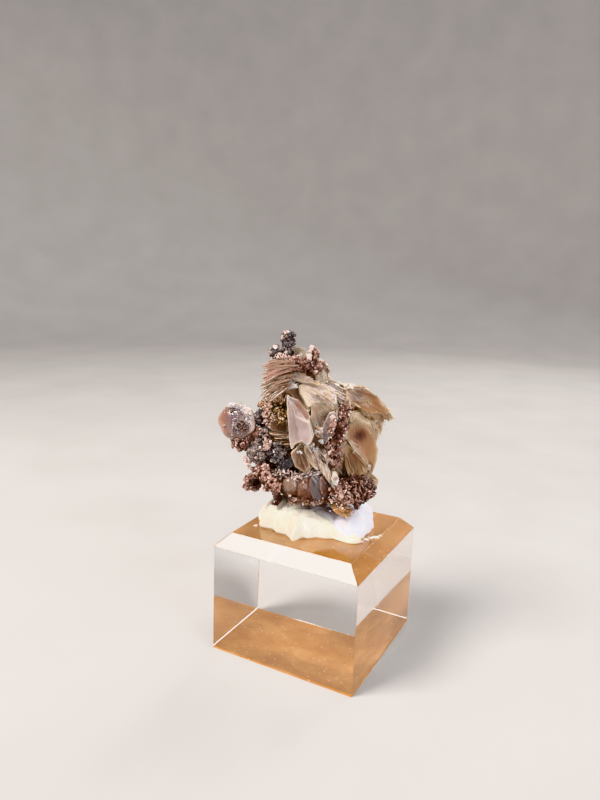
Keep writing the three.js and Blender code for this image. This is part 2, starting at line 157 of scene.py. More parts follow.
def ranged(tree, value, low, high, to_low, to_high, **settings):
    """The value, taken from its range low to high into the range to_low to to_high."""
    return node(tree, "MapRange", [
        ("Value", value), ("From Min", low), ("From Max", high), ("To Min", to_low), ("To Max", to_high),
    ], **settings).outputs["Result"]


def emboss(tree, shader, height, strength, deep):
    """Lets the pattern height bend the shader's normal, as relief of that depth in millimetres."""
    bump = node(tree, "Bump", [("Strength", strength), ("Distance", deep * MM), ("Height", height)])
    tree.links.new(bump.outputs["Normal"], shader.inputs["Normal"])


def new_group(name, inputs, output, build):
    """A node group with those number inputs. Its one output is what build makes of the group and the
    inputs."""
    group = bpy.data.node_groups.new(name, "ShaderNodeTree")
    for label in inputs:
        group.interface.new_socket(name=label, in_out="INPUT", socket_type="NodeSocketFloat")
    group.interface.new_socket(name=output, in_out="OUTPUT", socket_type="NodeSocketFloat")
    made = build(group, node(group, "NodeGroupInput").outputs)
    group.links.new(made, node(group, "NodeGroupOutput").inputs[output])
    return group


def speck_cells(group, given):
    """Fine specks, 1 inside and 0 outside: where a cell's nearest point is closer than the size in
    cells."""
    cells = node(group, "TexVoronoi", [("Vector", object_place(group)), ("Scale", given["Scale"])])
    return ranged(group, cells.outputs["Distance"], given["Size"], 0.0, 0.0, 1.0)


speck_group = new_group("specks", ("Scale", "Size"), "Specks", speck_cells)


def specks(tree, scale, size):
    """Specks of that size in cells, with scale cells per metre."""
    return node(tree, "Group", [("Scale", scale), ("Size", size)], node_tree=speck_group).outputs["Specks"]


def square_rings(levels):
    """Rings of four corners, anticlockwise from above: (-w, -w), (w, -w), (w, w), (-w, w) at each (w,
    height)."""
    corners = np.array([(-1, -1), (1, -1), (1, 1), (-1, 1)])
    return np.array([np.column_stack([corners * half, np.full(4, height)]) for half, height in levels])


side = BLOCK_HIGH.x
block_rings = square_rings([
    (side, BLOCK_LOW.z), (side, BLOCK_HIGH.z - BLOCK_BEVEL), (side - BLOCK_BEVEL, BLOCK_HIGH.z),
])
block = new_piece("clear_block", [skin(block_rings)])
rounding = block.modifiers.new("polished_edges", "BEVEL")
rounding.width = EDGE_ROUNDING
rounding.segments = 2
rounding.limit_method = "ANGLE"
rounding.harden_normals = True

acrylic, tree, shader = new_look("polished_acrylic", [
    ("Base Color", (1, 1, 1, 1)), ("Transmission Weight", 1.0), ("IOR", 1.49), ("Metallic", 0.0),
])
tree.links.new(ranged(tree, specks(tree, 420, 0.09), 0.0, 1.0, 0.0, 0.5), shader.inputs["Roughness"])
emboss(tree, shader, noise(tree, 90, 1.0), 0.02, 0.2)
dress(block, "acrylic_block", acrylic)


# The film on the block's underside is a thin tan sheet with darker and paler specks. It touches the
# acrylic all over, so it shows through the block's top and through the lower part of its sides.
FILM_LOW, FILM_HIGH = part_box("underside_film")
FILM_CONTACT = 0.02 * MM
FILM_SIDE = BLOCK_HIGH.x - 0.03 * MM


def colour(red, green, blue):
    """A display colour, from 0 to 255, as the linear colour that a shader takes."""
    share = np.array([red, green, blue]) / 255
    linear = np.where(share <= 0.04045, share / 12.92, ((share + 0.055) / 1.055) ** 2.4)
    return (*linear.tolist(), 1.0)


def ramp(tree, factor, stops, tint=colour):
    """The stops' colours, blended along factor. Each stop is its position and the three numbers that tint
    turns into a colour."""
    made = node(tree, "ValToRGB", [("Fac", factor)])
    band = made.color_ramp
    while len(band.elements) < len(stops):
        band.elements.new(0.5)
    for element, (position, *numbers) in zip(band.elements, stops):
        element.position = position
        element.color = tint(*numbers)
    return made.outputs["Color"]


def mixed(tree, factor, first, second, blend="MIX"):
    """first turned into second by factor."""
    inputs = [(0, factor), (6, first), (7, second)]
    return node(tree, "Mix", inputs, data_type="RGBA", blend_type=blend).outputs[2]


film_rings = square_rings([(FILM_SIDE, FILM_LOW.z), (FILM_SIDE, FILM_HIGH.z + FILM_CONTACT)])
film = new_piece("tan_film", [skin(film_rings)])
film_look, tree, shader = new_look("tan_film", [("Roughness", 0.55)])
cloud = noise(tree, 110, 4.0, 0.6)
tan = ramp(tree, cloud, [(0.3, 184, 120, 56), (0.5, 200, 140, 74), (0.72, 220, 162, 100)])
tan = mixed(tree, specks(tree, 900, 0.2), tan, colour(140, 92, 44))
tan = mixed(tree, specks(tree, 620, 0.16), tan, colour(250, 232, 200))
tree.links.new(tan, shader.inputs["Base Color"])
dress(film, "underside_film", film_look)


# The tack is one soft lump of white mineral putty: a cream roll that was pinched up at the left and pressed
# down with folds towards the right, with a smoother sheet of it at the right and back, and smears left round
# it. That sheet is painted bluish white as the cool shade on that side, and the smears are painted halfway
# between.
SHOW_SIDE_TURN = math.radians(25.5)
TACK_LIFT = 0.03
ROLL_FULLNESS = 0.42
WAVE_COUNT = 7


def on_block(points):
    """Points of the specimen's own frame, in millimetres to its right, into its depth and up from the
    block's top, as metres of the object's frame: turned about the upright axis and raised to the top of
    the block."""
    right, depth, up = np.moveaxis(points, -1, 0)
    c, s = math.cos(SHOW_SIDE_TURN), math.sin(SHOW_SIDE_TURN)
    turned = np.stack([c * right - s * depth, s * right + c * depth, up], axis=-1) * MM
    return turned + np.array([0, 0, BLOCK_HIGH.z])


def marked(points, triangles, *marks):
    """A skin of the specimen's frame as one of the object's, with its marks in their order and zeros for
    the rest."""
    columns = np.zeros((len(points), len(MARKS)))
    for i, values in enumerate(marks):
        columns[:, i] = values
    return on_block(points), triangles, columns


def waves(points, length, seed):
    """A soft random field from about -1 to 1: the sum of a few sine waves in seeded directions, with
    wavelengths near length, over points in millimetres."""
    rng = np.random.default_rng(seed)
    aim = rng.normal(size=(WAVE_COUNT, 3))
    aim /= np.linalg.norm(aim, axis=1)[:, None]
    pace = 2 * math.pi / (length * rng.uniform(0.7, 1.4, WAVE_COUNT))
    phase = rng.uniform(0, 2 * math.pi, WAVE_COUNT)
    return np.sin(points @ (aim * pace[:, None]).T + phase).sum(axis=-1) / math.sqrt(WAVE_COUNT)


def ripple_round(angle, seed, lowest=2, count=6):
    """A seeded ripple from about -1 to 1 round a closed outline: sines of whole numbers of turns."""
    rng = np.random.default_rng(seed)
    turns = lowest + np.arange(count)
    weight = rng.normal(size=count) / math.sqrt(count)
    return (np.sin(angle[..., None] * turns + rng.uniform(0, 6.3, count)) * weight).sum(axis=-1)


def pancake(middle, outline, top, ragged=0.04, columns=200, rings=44):
    """A pressed lump that lies flat on the block. Round its middle the radius follows the outline's
    points. From the foot up, the share of that radius is cos(rise) to the power of ROLL_FULLNESS, and the
    height is the top there times sin(rise), so its side is a fat roll, less a few creases where a soft field
    crosses zero."""
    corner = np.array(outline) - middle
    at = np.arctan2(corner[:, 1], corner[:, 0])
    order = np.argsort(at)
    angle = np.linspace(-math.pi, math.pi, columns, endpoint=False)
    radius = np.interp(angle, at[order], np.hypot(*corner[order].T), period=2 * math.pi)
    near = np.exp(-0.5 * (np.arange(-6, 7) / 1.1) ** 2)
    radius = np.convolve(np.tile(radius, 3), near / near.sum(), "same")[columns:2 * columns]
    radius = radius * (1 + ragged * ripple_round(angle, 3, lowest=5, count=18))
    rise = np.radians(np.linspace(0, 89, rings))[:, None]
    share = np.cos(rise) ** ROLL_FULLNESS
    share[0] *= 0.97
    right = middle[0] + radius * np.cos(angle) * share
    depth = middle[1] + radius * np.sin(angle) * share
    flat = np.stack([right, depth, np.zeros_like(right)], axis=-1)
    up = top(right, depth) * np.sin(rise) ** 0.8 + 0.12 * waves(flat, 2.4, 8) * np.sin(rise)
    up = up - 0.22 * (1 - np.abs(waves(flat, 3.4, 9))) ** 4 * np.sin(rise) ** 0.5
    return np.stack([right, depth, np.maximum(up, 0) + TACK_LIFT], axis=-1)


def hill(right, depth, at, wide, tall):
    """A smooth bump of that height and widths: a bell curve."""
    return tall * np.exp(-((right - at[0]) / wide[0]) ** 2 - ((depth - at[1]) / wide[1]) ** 2)


def groove(right, depth, start, end, wide, deep):
    """A crease from start to end: a bell curve of the distance to that line."""
    line = np.subtract(end, start)
    along = ((right - start[0]) * line[0] + (depth - start[1]) * line[1]) / (line @ line)
    along = np.clip(along, 0, 1)
    away = np.hypot(right - start[0] - along * line[0], depth - start[1] - along * line[1])
    return deep * np.exp(-(away / wide) ** 2)


def cream_top(right, depth):
    """The height of the cream roll: high at the left, low at the right, with folds where it was
    pressed."""
    height = 3.0
    for at, wide, tall in [
        ((-8.4, -1.6), (4.6, 6.5), 3.5), ((-2.6, -4.2), (5, 2.6), 1.3), ((6.6, -6.4), (4, 4), -1.4),
    ]:
        height = height + hill(right, depth, at, wide, tall)
    for start, end in [
        ((1.4, -3), (5.2, -8.4)), ((2.6, -3.4), (6.2, -8.6)), ((3.8, -3.6), (7, -8.4)),
        ((-7, 1), (-6.2, -6.8)),
    ]:
        height = height - groove(right, depth, start, end, 0.38, 0.5)
    return height


def bluish_top(right, depth):
    """The height of the bluish sheet: a fold behind the cream roll, a flap under the ball and a low
    back."""
    fold = hill(right, depth, (-1, -2.6), (4.4, 2.6), 1.7) + hill(right, depth, (7.4, -4), (2.4, 2.4), 2)
    return 3.6 + fold + hill(right, depth, (7.6, 3), (4, 5), 0.8)


def mark(tree, label):
    """The mark of that name at the shaded point."""
    return node(tree, "Attribute", attribute_name=label).outputs["Fac"]


CREAM_OUTLINE = [
    (-13, -0.3), (-12, -2.4), (-10, -4.1), (-6.8, -6.6), (-6.5, -8.4), (-5.8, -10.2), (-5.1, -8.4),
    (-3.6, -7.3), (-1.7, -7.1), (1, -7.3), (3.3, -7.4), (5, -8.7), (6.3, -9.2), (7.6, -8), (8.2, -5),
    (7.6, 0), (4, 5.6), (-3, 8.4), (-9, 6.4), (-12.3, 3),
]
BLUISH_OUTLINE = [
    (-4.4, -3.4), (-1, -5), (2.4, -5.9), (5, -7), (7.6, -7.3), (9.2, -6), (10.3, -2.6), (11, 3),
    (10.4, 8.2), (6, 9.8), (1.6, 8.4), (-3, 5),
]
SMEARS = [
    (11.6, -5.2, 0.55), (10.6, -5.9, 0.3), (9.6, -6.6, 0.35), (10.1, -5.2, 0.2), (8.6, -7.8, 0.25),
    (12.6, -4.4, 0.25), (-13.3, -2.4, 0.3),
]
tack_skins = []
for middle, outline, top, tone in [
    ((-1.6, -0.6), CREAM_OUTLINE, cream_top, 0.0),
    ((6, 0.8), BLUISH_OUTLINE, bluish_top, 1.0),
]:
    corners, faces = skin(pancake(np.array(middle), outline, top))
    tack_skins.append(marked(corners, faces, tone, *corners.T))
for right, depth, radius in SMEARS:
    angle = np.linspace(0, 2 * math.pi, 10, endpoint=False)
    edge = np.column_stack([right + radius * np.cos(angle), depth + 0.7 * radius * np.sin(angle)])
    low = lambda a, b: 0 * a + 0.3 * radius + 0.1
    corners, faces = skin(pancake(np.array([right, depth]), edge, low, ragged=0.5, columns=40, rings=8))
    tack_skins.append(marked(corners, faces, 0.5, *corners.T))
tack_look, tree, shader = new_look("mineral_putty", [
    ("Roughness", 0.5), ("Subsurface Weight", 0.25), ("Subsurface Scale", 1.2 * MM), ("IOR", 1.48),
])
mottle = noise(tree, 240, 3.0)
cream = ramp(tree, mottle, [(0.35, 240, 230, 208), (0.65, 250, 245, 232)])
# Painted shade: the sheet at the right and back takes a cool bluish white in place of the cream, as its
# shaded side.
painted_shade_bluish = ramp(tree, mottle, [(0.35, 226, 222, 232), (0.65, 240, 238, 246)])
tree.links.new(mixed(tree, mark(tree, "tone"), cream, painted_shade_bluish), shader.inputs["Base Color"])
emboss(tree, shader, noise(tree, 900, 4.0, 0.6), 0.35, 0.12)
dress(new_piece("white_tack", tack_skins, crease=80), "mineral_tack", tack_look)


# The heart of the specimen is one smoky honey-brown calcite mass. It cleaves into thin leaves that
# overlap on its show side and back, with shelves in the hollow on its left. Fine fibres run down it to
# the right, like a feather's.
LEAF = 0.36
PLATE_RINGS = [
    (0.6, -1), (0.97, -0.8), (1, -0.3), (1, 0.4), (0.98, 0.9), (0.93, 1), (0.84, 1), (0.71, 1), (0.56, 1),
    (0.38, 1), (0.18, 1),
]
FOLDS = 4
EDGE_POINTS = 72
LUMP_LENGTH = 2.6
GOLDEN_ANGLE = 2.399963
BURIED = 0.85
SHELF_HEIGHTS = np.arange(18.6, 21.6, 0.5)


def unit(vector):
    """The vector at length one."""
    return np.array(vector) / np.linalg.norm(vector)


def unit_rows(vectors):
    """Each row at length one."""
    return vectors / np.maximum(np.linalg.norm(vectors, axis=-1, keepdims=True), 1e-9)


def facing(azimuth, elevation):
    """The direction a face looks in: azimuth 0 is the show side and 90 its right, elevation is above the
    horizon."""
    a, e = math.radians(azimuth), math.radians(elevation)
    return np.array([math.sin(a) * math.cos(e), -math.cos(a) * math.cos(e), math.sin(e)])


def plane_axes(normal, spin=0.0):
    """Two directions in the plane that faces normal, level and upward before the spin in degrees."""
    normal = unit(normal)
    level = unit([-normal[1], normal[0], 0])
    upward = np.cross(normal, level)
    c, s = math.cos(math.radians(spin)), math.sin(math.radians(spin))
    return c * level + s * upward, c * upward - s * level


def drawn(rng, values, count):
    """count random numbers: between the two of a tuple, or from those of a list. A single number is
    repeated."""
    if isinstance(values, tuple):
        return rng.uniform(*values, count)
    return rng.choice(values, count) if isinstance(values, list) else np.full(count, float(values))


def straight_edge(corners, count, chips, seed):
    """count points along the straight sides between the corners, pulled in to the middle by a ripple of
    small chips, and anticlockwise."""
    shape = np.array(corners)
    x, y = shape.T
    if (x * np.roll(y, -1) - y * np.roll(x, -1)).sum() < 0:
        shape = shape[::-1]
    ring = np.vstack([shape, shape[:1]])
    length = np.concatenate([[0], np.cumsum(np.hypot(*np.diff(ring, axis=0).T))])
    along = np.linspace(0, length[-1], count, endpoint=False)
    edge = np.column_stack([np.interp(along, length, ring[:, i]) for i in (0, 1)])
    turn = 2 * math.pi * along / length[-1]
    notch = np.abs(ripple_round(turn, seed, lowest=5, count=14)) ** 0.7
    return edge * (1 - chips * notch)[:, None]


def creases(flat, size, seed, slope):
    """The height of a leaf that is folded along a few straight creases: the slope of each fold times the
    distance from its crease, on both sides of it, over points of the leaf's plane."""
    rng = np.random.default_rng(seed + 900)
    turn = rng.uniform(0, math.pi, FOLDS)
    away = flat @ np.array([np.cos(turn), np.sin(turn)]) - rng.uniform(-0.5, 0.5, FOLDS) * size
    return (np.abs(away) * slope * rng.uniform(-1, 1, FOLDS)).sum(axis=-1)


def fibres(flat, root):
    """Where points of a leaf's plane lie in fibres that spread from the root like a fan: the angle round
    the root times its distance, and the way from the root."""
    ahead = -unit(root)
    way = flat - root
    turn = np.arctan2(way @ np.array([-ahead[1], ahead[0]]), way @ ahead)
    return turn * np.hypot(*root), np.hypot(way[..., 0], way[..., 1])


def plate(middle, normal, edge, tone, thick=LEAF, spin=0.0, dish=0.0, warp=0.05, fold=0.05, ribs=0.03,
          teeth=0.0, root=None, seed=0, pale=1.0):
    """A thin leaf. Each ring of it is its edge, with teeth cut in away from the root, drawn in by a
    share. Its height along the normal is the level times half its thickness, plus the dish times (share
    squared - 1), plus ribs along its fibres, straight creases and a soft warp. Its marks are the tone,
    the share, and the place in the fibres."""
    across, along = plane_axes(normal, spin)
    share, level = np.array(PLATE_RINGS).T
    size = np.hypot(*edge.T).mean()
    if root is None:
        root = 2 * size * np.array([math.cos(seed), math.sin(seed)])
    place, way = fibres(edge, root)
    bite = np.abs(waves(np.stack([place, 0 * place, 0 * place], axis=-1), 1.2, seed + 3)) ** 0.8
    edge = edge * (1 - teeth * bite * np.clip(2 * way / way.max() - 1, 0, 1))[:, None]
    flat = share[:, None, None] * edge
    place, way = fibres(flat, root)
    grooves = np.stack([place, 0.12 * way, 0 * way], axis=-1)
    field = np.concatenate([flat, np.zeros((*flat.shape[:2], 1))], axis=-1)
    height = level[:, None] * thick / 2 + dish * (share[:, None] ** 2 - 1) + warp * waves(field, 3.6, seed)
    height = height + ribs * waves(grooves, 0.8, seed + 5) + creases(flat, size, seed, fold)
    rings = middle + flat[..., :1] * across + flat[..., 1:] * along + height[..., None] * unit(normal)
    corners, faces = skin(rings)
    rim_highlight = np.append(pale * np.repeat(share, len(edge)), [0, 0])
    growth = np.append(place.ravel(), [0, 0]) + 9 * tone
    return marked(corners, faces, tone, rim_highlight, growth, np.append(way.ravel(), [np.hypot(*root)] * 2))


def on_face(shown, middle, normal):
    """Points given by their place to the right and upward, as seen from the show side, put on the plane
    through the middle that faces normal."""
    slope = ((shown - middle[[0, 2]]) @ normal[[0, 2]]) / normal[1]
    return np.column_stack([shown[:, 0], middle[1] - slope, shown[:, 1]])


def book(corners, y, normal, deep, seed, root, teeth, tone, steps=1, dish=0.0, sides=EDGE_POINTS,
         loose=0.05, fold=0.05, ribs=0.04):
    """A stack of leaves that fills one cleavage plate. The corners and the root of its fibres are as they
    show from the show side, on the plane that faces normal with its middle at depth y. Leaves lie from
    the back to that plane, each a little larger, smaller or shifted, and the last ones stop short of each
    other as steps on its face."""
    rng = np.random.default_rng(seed)
    corners = np.array(corners, dtype=float)
    middle = np.array([corners[:, 0].mean(), y, corners[:, 1].mean()])
    across, along = plane_axes(normal)
    solid = on_face(np.vstack([corners, root]), middle, normal) - middle
    *outline, root = np.column_stack([solid @ across, solid @ along])
    outline = np.array(outline)
    drift = unit(root) * 0.2 * np.hypot(*outline.T).mean()
    count = max(2, round(deep / LEAF))
    made = []
    for i in range(count + steps):
        back = min(i - count + 1, 0) * deep / count
        above = max(i - count + 1, 0)
        grown = (1 + loose * rng.uniform(-1, 0.5)) * (1 - 0.22 * above)
        shift = drift * above + rng.normal(size=2) * loose * 1.4
        edge = straight_edge(outline * grown, sides, 0.012, seed * 31 + i) + shift
        made.append(plate(
            middle + unit(normal) * (back - LEAF / 2 + above * 0.1 + 0.02),
            unit(normal + rng.normal(size=3) * 0.4 * loose), edge, dish=dish, fold=fold, ribs=ribs,
            teeth=teeth, root=root, seed=seed, tone=tone + rng.uniform(-0.12, 0.12),
        ))
    return made


def round_edge(half, cusps, bite, seed):
    """The outline of a round leaf: an ellipse of those half widths whose radius dips between outward
    cusps."""
    angle = np.linspace(0, 2 * math.pi, EDGE_POINTS, endpoint=False)
    dip = bite * np.abs(np.sin(cusps * angle / 2 + seed))
    reach = 1 - dip + 0.5 * bite * np.sin(2 * angle + 2.3 * seed)
    reach = reach - 0.03 * np.abs(ripple_round(angle, seed, 7))
    return np.column_stack([half[0] * reach * np.cos(angle), half[1] * reach * np.sin(angle)])


def directions(rings, columns):
    """Directions to the points of a ball, ring by ring from the lowest up."""
    rise = np.radians(np.linspace(-90, 90, rings + 2)[1:-1])[:, None]
    angle = np.linspace(0, 2 * math.pi, columns, endpoint=False)
    level = np.cos(rise)
    return np.stack([level * np.cos(angle), level * np.sin(angle), np.sin(rise) + 0 * angle], axis=-1)


def in_pits(points, pits):
    """How deep points lie in the pits, each (place, radius): the sum of the bell curves of their
    distances."""
    deep = np.zeros(points.shape[:-1])
    for place, radius in pits:
        deep = deep + radius * np.exp(-((points - place) ** 2).sum(axis=-1) / radius ** 2)
    return deep


def lump_points(lump, aim, bumps, length, pits=()):
    """Points of a rough lump in the directions aim: its middle plus its half widths times aim, pushed out
    by rounded bumps with creases between them, at the given length and at half of it, and in by the
    pits."""
    at, half = np.array(lump[0]), np.array(lump[1])
    base = at + half * aim
    push = bumps * (np.abs(waves(base, length, 11)) + 0.5 * np.abs(waves(base, length / 2, 12)) - 0.7)
    return base + aim * (push - in_pits(base, pits))[..., None]


def lump_skin(lump, tone):
    """The closed skin of one rough lump. It is darker in its creases, as painted shade."""
    corners, faces = skin(lump_points(lump, directions(26, 40), 0.25, LUMP_LENGTH))
    base = np.array(lump[0]) + np.array(lump[1]) * unit_rows(corners - lump[0])
    # Painted shade: the tone drops in the creases between the bumps.
    relief = np.abs(waves(base, LUMP_LENGTH, 11)) - 0.5
    return marked(corners, faces, np.clip(tone + 0.25 * relief, 0, 1), 0, corners[:, 0], corners[:, 2])


def outside(lumps, density, bumps, length, rng, clear_of=(), pits=()):
    """Places spread evenly over the outside of a cluster of lumps, density of them per square millimetre,
    with the outward direction at each and the index of its lump. None is inside another lump."""
    places, aims, owners = [], [], []
    for index, (at, half) in enumerate(lumps):
        area = 4 * math.pi * (np.prod(half) ** (2 / 3))
        count = int(area * density)
        up = 1 - (2 * np.arange(count) + 1) / count
        around = GOLDEN_ANGLE * np.arange(count) + rng.uniform(0, 6)
        level = np.sqrt(1 - up * up)
        aim = np.column_stack([level * np.cos(around), level * np.sin(around), up])
        aim = unit_rows(aim + rng.normal(size=aim.shape) * 0.5 / math.sqrt(count))
        points = lump_points((at, half), aim, bumps, length, pits)
        free = np.ones(count, dtype=bool)
        for other, (middle, widths) in enumerate([*lumps, *clear_of]):
            if other != index:
                free &= (((points - middle) / widths) ** 2).sum(axis=1) > BURIED
        places.append(points[free])
        aims.append(unit_rows(aim / np.array(half))[free])
        owners.append(np.full(free.sum(), index))
    return np.concatenate(places), np.concatenate(aims), np.concatenate(owners)


BLADE_WAYS = np.array([0.02, 0.2, 0.42, 0.64, 0.84, 0.98])
BLADE_CORNERS = np.array([(-1, 0), (0, -1), (1, 0), (0, 1)])


def blades(roots, aims, faces_to, lengths, widths, tones, bend=0.12, thick=0.14, sweep=0.0, pale=0.88):
    """Many thin pointed leaves at once. Along each, at a way from 0 at the root to 1 at the tip, the half
    width is its width times the sine of half a turn's way to the power of 0.6, the leaf bends to its face
    by bend and to its side by sweep, both times its length times the way squared, and across it is a flat
    lozenge."""
    count = len(roots)
    side = unit_rows(np.cross(aims, faces_to))
    face = np.cross(side, aims)
    way = BLADE_WAYS[None, :, None, None]
    wide = np.sin(math.pi * np.clip(way, 0.03, 0.985)) ** 0.6
    length, width = lengths[:, None, None, None], widths[:, None, None, None]
    turned = face * bend + side * sweep
    points = roots[:, None, None] + aims[:, None, None] * length * way
    points = points + turned[:, None, None] * length * way ** 2
    points = points + side[:, None, None] * width * wide * BLADE_CORNERS[:, :1]
    points = points + face[:, None, None] * thick * (1 - 0.6 * way) * BLADE_CORNERS[:, 1:]
    rows, columns = len(BLADE_WAYS), len(BLADE_CORNERS)
    _, one = skin(np.zeros((rows, columns, 3)))
    ends = np.stack([points[:, 0].mean(axis=1), points[:, -1].mean(axis=1)], axis=1)
    points = np.concatenate([points.reshape(count, -1, 3), ends], axis=1)
    index = one[None] + (np.arange(count) * points.shape[1])[:, None, None]
    marks = np.zeros((count, points.shape[1], len(MARKS)))
    marks[..., 0] = tones[:, None]
    # The long edges get the rim mark, which the calcite shader paints as a pale edge, partly a painted
    # highlight.
    marks[:, :-2, 1] = np.tile(np.abs(BLADE_CORNERS[:, 0]), rows) * pale
    marks[..., 2] = np.arange(count)[:, None] * 1.7
    marks[:, :-2, 2] += (width * wide * BLADE_CORNERS[:, :1])[..., 0].reshape(count, -1)
    marks[:, :-2, 3] = np.repeat(lengths[:, None] * BLADE_WAYS, columns, axis=1)
    return on_block(points.reshape(-1, 3)), index.reshape(-1, 3), marks.reshape(-1, len(MARKS))


def splinters(rng, where, flow, stray, face, tilt, lengths, widths, tones, back=0.0, **shape):
    """Blades at the places, drawn back a little along their way. They follow the flow and look the way of
    face, both turned at random, and have random lengths, widths and tones."""
    count = len(where)
    aims = unit_rows(flow + rng.normal(size=(count, 3)) * stray)
    faces_to = np.tile(face, (count, 1)) + (rng.normal(size=(count, 3)) * tilt if tilt else 0)
    sizes = [drawn(rng, values, count) for values in (lengths, widths, tones)]
    return blades(where - aims * back, aims, unit_rows(faces_to), *sizes, **shape)


def feathers(lumps, density, length, width, root, seed, tone=(0.3, 0.7), behind=-99):
    """Blades that lie over a cluster of lumps like feathers: each starts on the lump's outside, at least
    as deep as behind, and points away from the root along the surface, lifted a little and turned at
    random."""
    rng = np.random.default_rng(seed)
    places, outward, _ = outside(lumps, density, 0.2, LUMP_LENGTH, rng)
    places, outward = places[places[:, 1] > behind], outward[places[:, 1] > behind]
    flow = unit_rows(places - np.array(root)) + rng.normal(size=places.shape) * 0.22
    flow = unit_rows(flow - (flow * outward).sum(axis=1, keepdims=True) * outward)
    count = len(places)
    aims = unit_rows(flow + outward * rng.normal(size=(count, 1)) * 0.12)
    faces_to = unit_rows(outward + rng.normal(size=places.shape) * 0.25)
    lengths = length * rng.uniform(0.5, 1.3, count)
    return blades(
        places - aims * lengths[:, None] * 0.4, aims, faces_to, lengths, width * rng.uniform(0.5, 1.3, count),
        rng.uniform(*tone, count), bend=0.05, thick=0.09,
    )


def streaks(corners, y, normal, root, count, length, width, seed, tone, dish=0.0):
    """Narrow blades that lie on the face of a plate, at random mixes of its corners, and point away from
    the root."""
    rng = np.random.default_rng(seed)
    corners = np.array(corners, dtype=float)
    middle = np.array([corners[:, 0].mean(), y, corners[:, 1].mean()])
    shown = rng.dirichlet(np.full(len(corners), 0.35), count) @ corners
    places = on_face(np.vstack([shown, root]), middle, normal)
    places, start = places[:-1], places[-1]
    outward = np.tile(unit(normal), (count, 1))
    share = np.linalg.norm(places - middle, axis=1) / np.linalg.norm(corners - middle[[0, 2]], axis=1).mean()
    places = places + outward * (dish * (np.clip(share, 0, 1) ** 2 - 1) + 0.02)[:, None]
    aims = unit_rows(unit_rows(places - start) + rng.normal(size=(count, 3)) * 0.09)
    lengths = length * rng.uniform(0.4, 1.2, count)
    return blades(
        places - aims * lengths[:, None] * 0.5, aims, unit_rows(outward + rng.normal(size=(count, 3)) * 0.25),
        lengths, width * rng.uniform(0.4, 1.4, count), rng.uniform(*tone, count), bend=0.03, thick=0.07,
        pale=0.8,
    )


PALE_LEAF = [
    (-8.2, 32.1), (-7.4, 31.8), (-6.3, 31.2), (-5.3, 30.7), (-5.4, 30.4), (-6.2, 30.6), (-6.9, 30.2),
    (-7.5, 29.9), (-8.5, 30.2), (-8.9, 30.7), (-8.6, 31.4),
]
RIDGE_BAND = [
    (-8, 32.4), (-7.2, 32.9), (-6, 33.3), (-4.5, 33.1), (-3.4, 32.4), (-2.3, 31.8), (-0.8, 31.3),
    (-1.4, 31), (-2.7, 31.3), (-4.2, 31.5), (-5.4, 31.7), (-6.5, 32),
]
BRIGHT_PLATE = [
    (-5.5, 30.6), (-3.8, 31.3), (-1.4, 31.3), (-0.1, 30.2), (1.2, 29.3), (2.3, 28.6), (2.6, 27.3),
    (1.3, 27), (-0.2, 27.5), (-1.9, 27.3), (-3.3, 26.6), (-4.1, 27.9), (-5.2, 29.3),
]
CENTRE_PLATE = [
    (-2.7, 26.7), (-1.2, 27.5), (1.6, 26.9), (3, 26.5), (2.3, 24.9), (1.3, 23.1), (0.5, 21.5),
    (-0.9, 20.6), (-2.2, 22.2), (-2.8, 23.5), (-2.5, 24.8),
]
PALE_RIM = [
    (-3.3, 24.6), (-2.6, 24.9), (-2.3, 23.8), (-1.8, 22.9), (-1, 22.6), (-0.2, 22.1), (0, 20.6),
    (-0.9, 20.7), (-1.9, 21.2), (-2.4, 21.9), (-2.9, 23.3),
]
FEATHER_PLATE = [
    (-0.8, 30.6), (0.7, 30.4), (2.5, 30.2), (4.6, 29.5), (4.8, 27.9), (4.6, 26.9), (3.3, 26.9),
    (2.3, 27.8), (1.3, 28.7), (0, 29.7),
]
LOW_RHOMB = [(-6.2, 17.3), (-4.4, 19.2), (-1.6, 17.7), (-1, 15.2), (-3.2, 13.4), (-5.2, 14.6)]
RIGHT_RHOMB = [(-3.5, 19.4), (-2.4, 19.3), (-1, 18), (0.2, 15.6), (-0.6, 14.6), (-2.5, 16.7), (-3.4, 18)]
LONG_BLADE = [(-0.4, 15.7), (-0.1, 15.9), (1.3, 13.7), (2.9, 10.5), (2.5, 10.4), (0.8, 12.8)]
THIN_BLADE = [(0.5, 16), (0.9, 15.7), (1.8, 13.8), (2.2, 11.9), (1.9, 12.1), (1.1, 13.8)]
CROSS_BLADE = [(-3.9, 17.7), (-3.5, 17.7), (-1.6, 16.1), (-0.6, 14.5), (-1.1, 14.5), (-2.5, 15.8)]
BROWN_BLADE = [(-4.7, 18.2), (-3.7, 18.3), (-2.2, 14.8), (-3, 14.2)]
SMALL_RHOMB = [(2.3, 14), (3, 14.1), (3.6, 12.8), (3.2, 11.3), (2.5, 11.6), (2, 12.7)]
HOLLOW_SILL = [
    (-11, 22.3), (-10, 23.2), (-8.3, 23.5), (-7.3, 23.1), (-7, 21.8), (-7, 20.9), (-8.8, 21),
    (-10.8, 21.3),
]
HOLLOW_LEDGE = [
    (-11.4, 21), (-9.9, 21), (-8.2, 20.8), (-6.8, 20.8), (-6.8, 20.2), (-8.1, 20.2), (-9.8, 20.3),
    (-10.9, 20.5),
]
SHADED_PLATE = [
    (-9.2, 30.4), (-7.6, 31), (-5.2, 30.8), (-3.6, 28.6), (-2.2, 26.4), (-3.2, 25.4), (-5.2, 27.2),
    (-7, 29), (-8.8, 29.2),
]
BACK_HIGH = [
    (-8.6, 26.2), (-8, 29), (-6.2, 30.6), (-4.4, 30.8), (-2.6, 32), (0.4, 31), (2.4, 29.2), (1.8, 26.8),
    (2.6, 25), (0.6, 23.8), (-1.4, 21.8), (-4, 21.2), (-6.2, 21.4), (-7.2, 23.6),
]
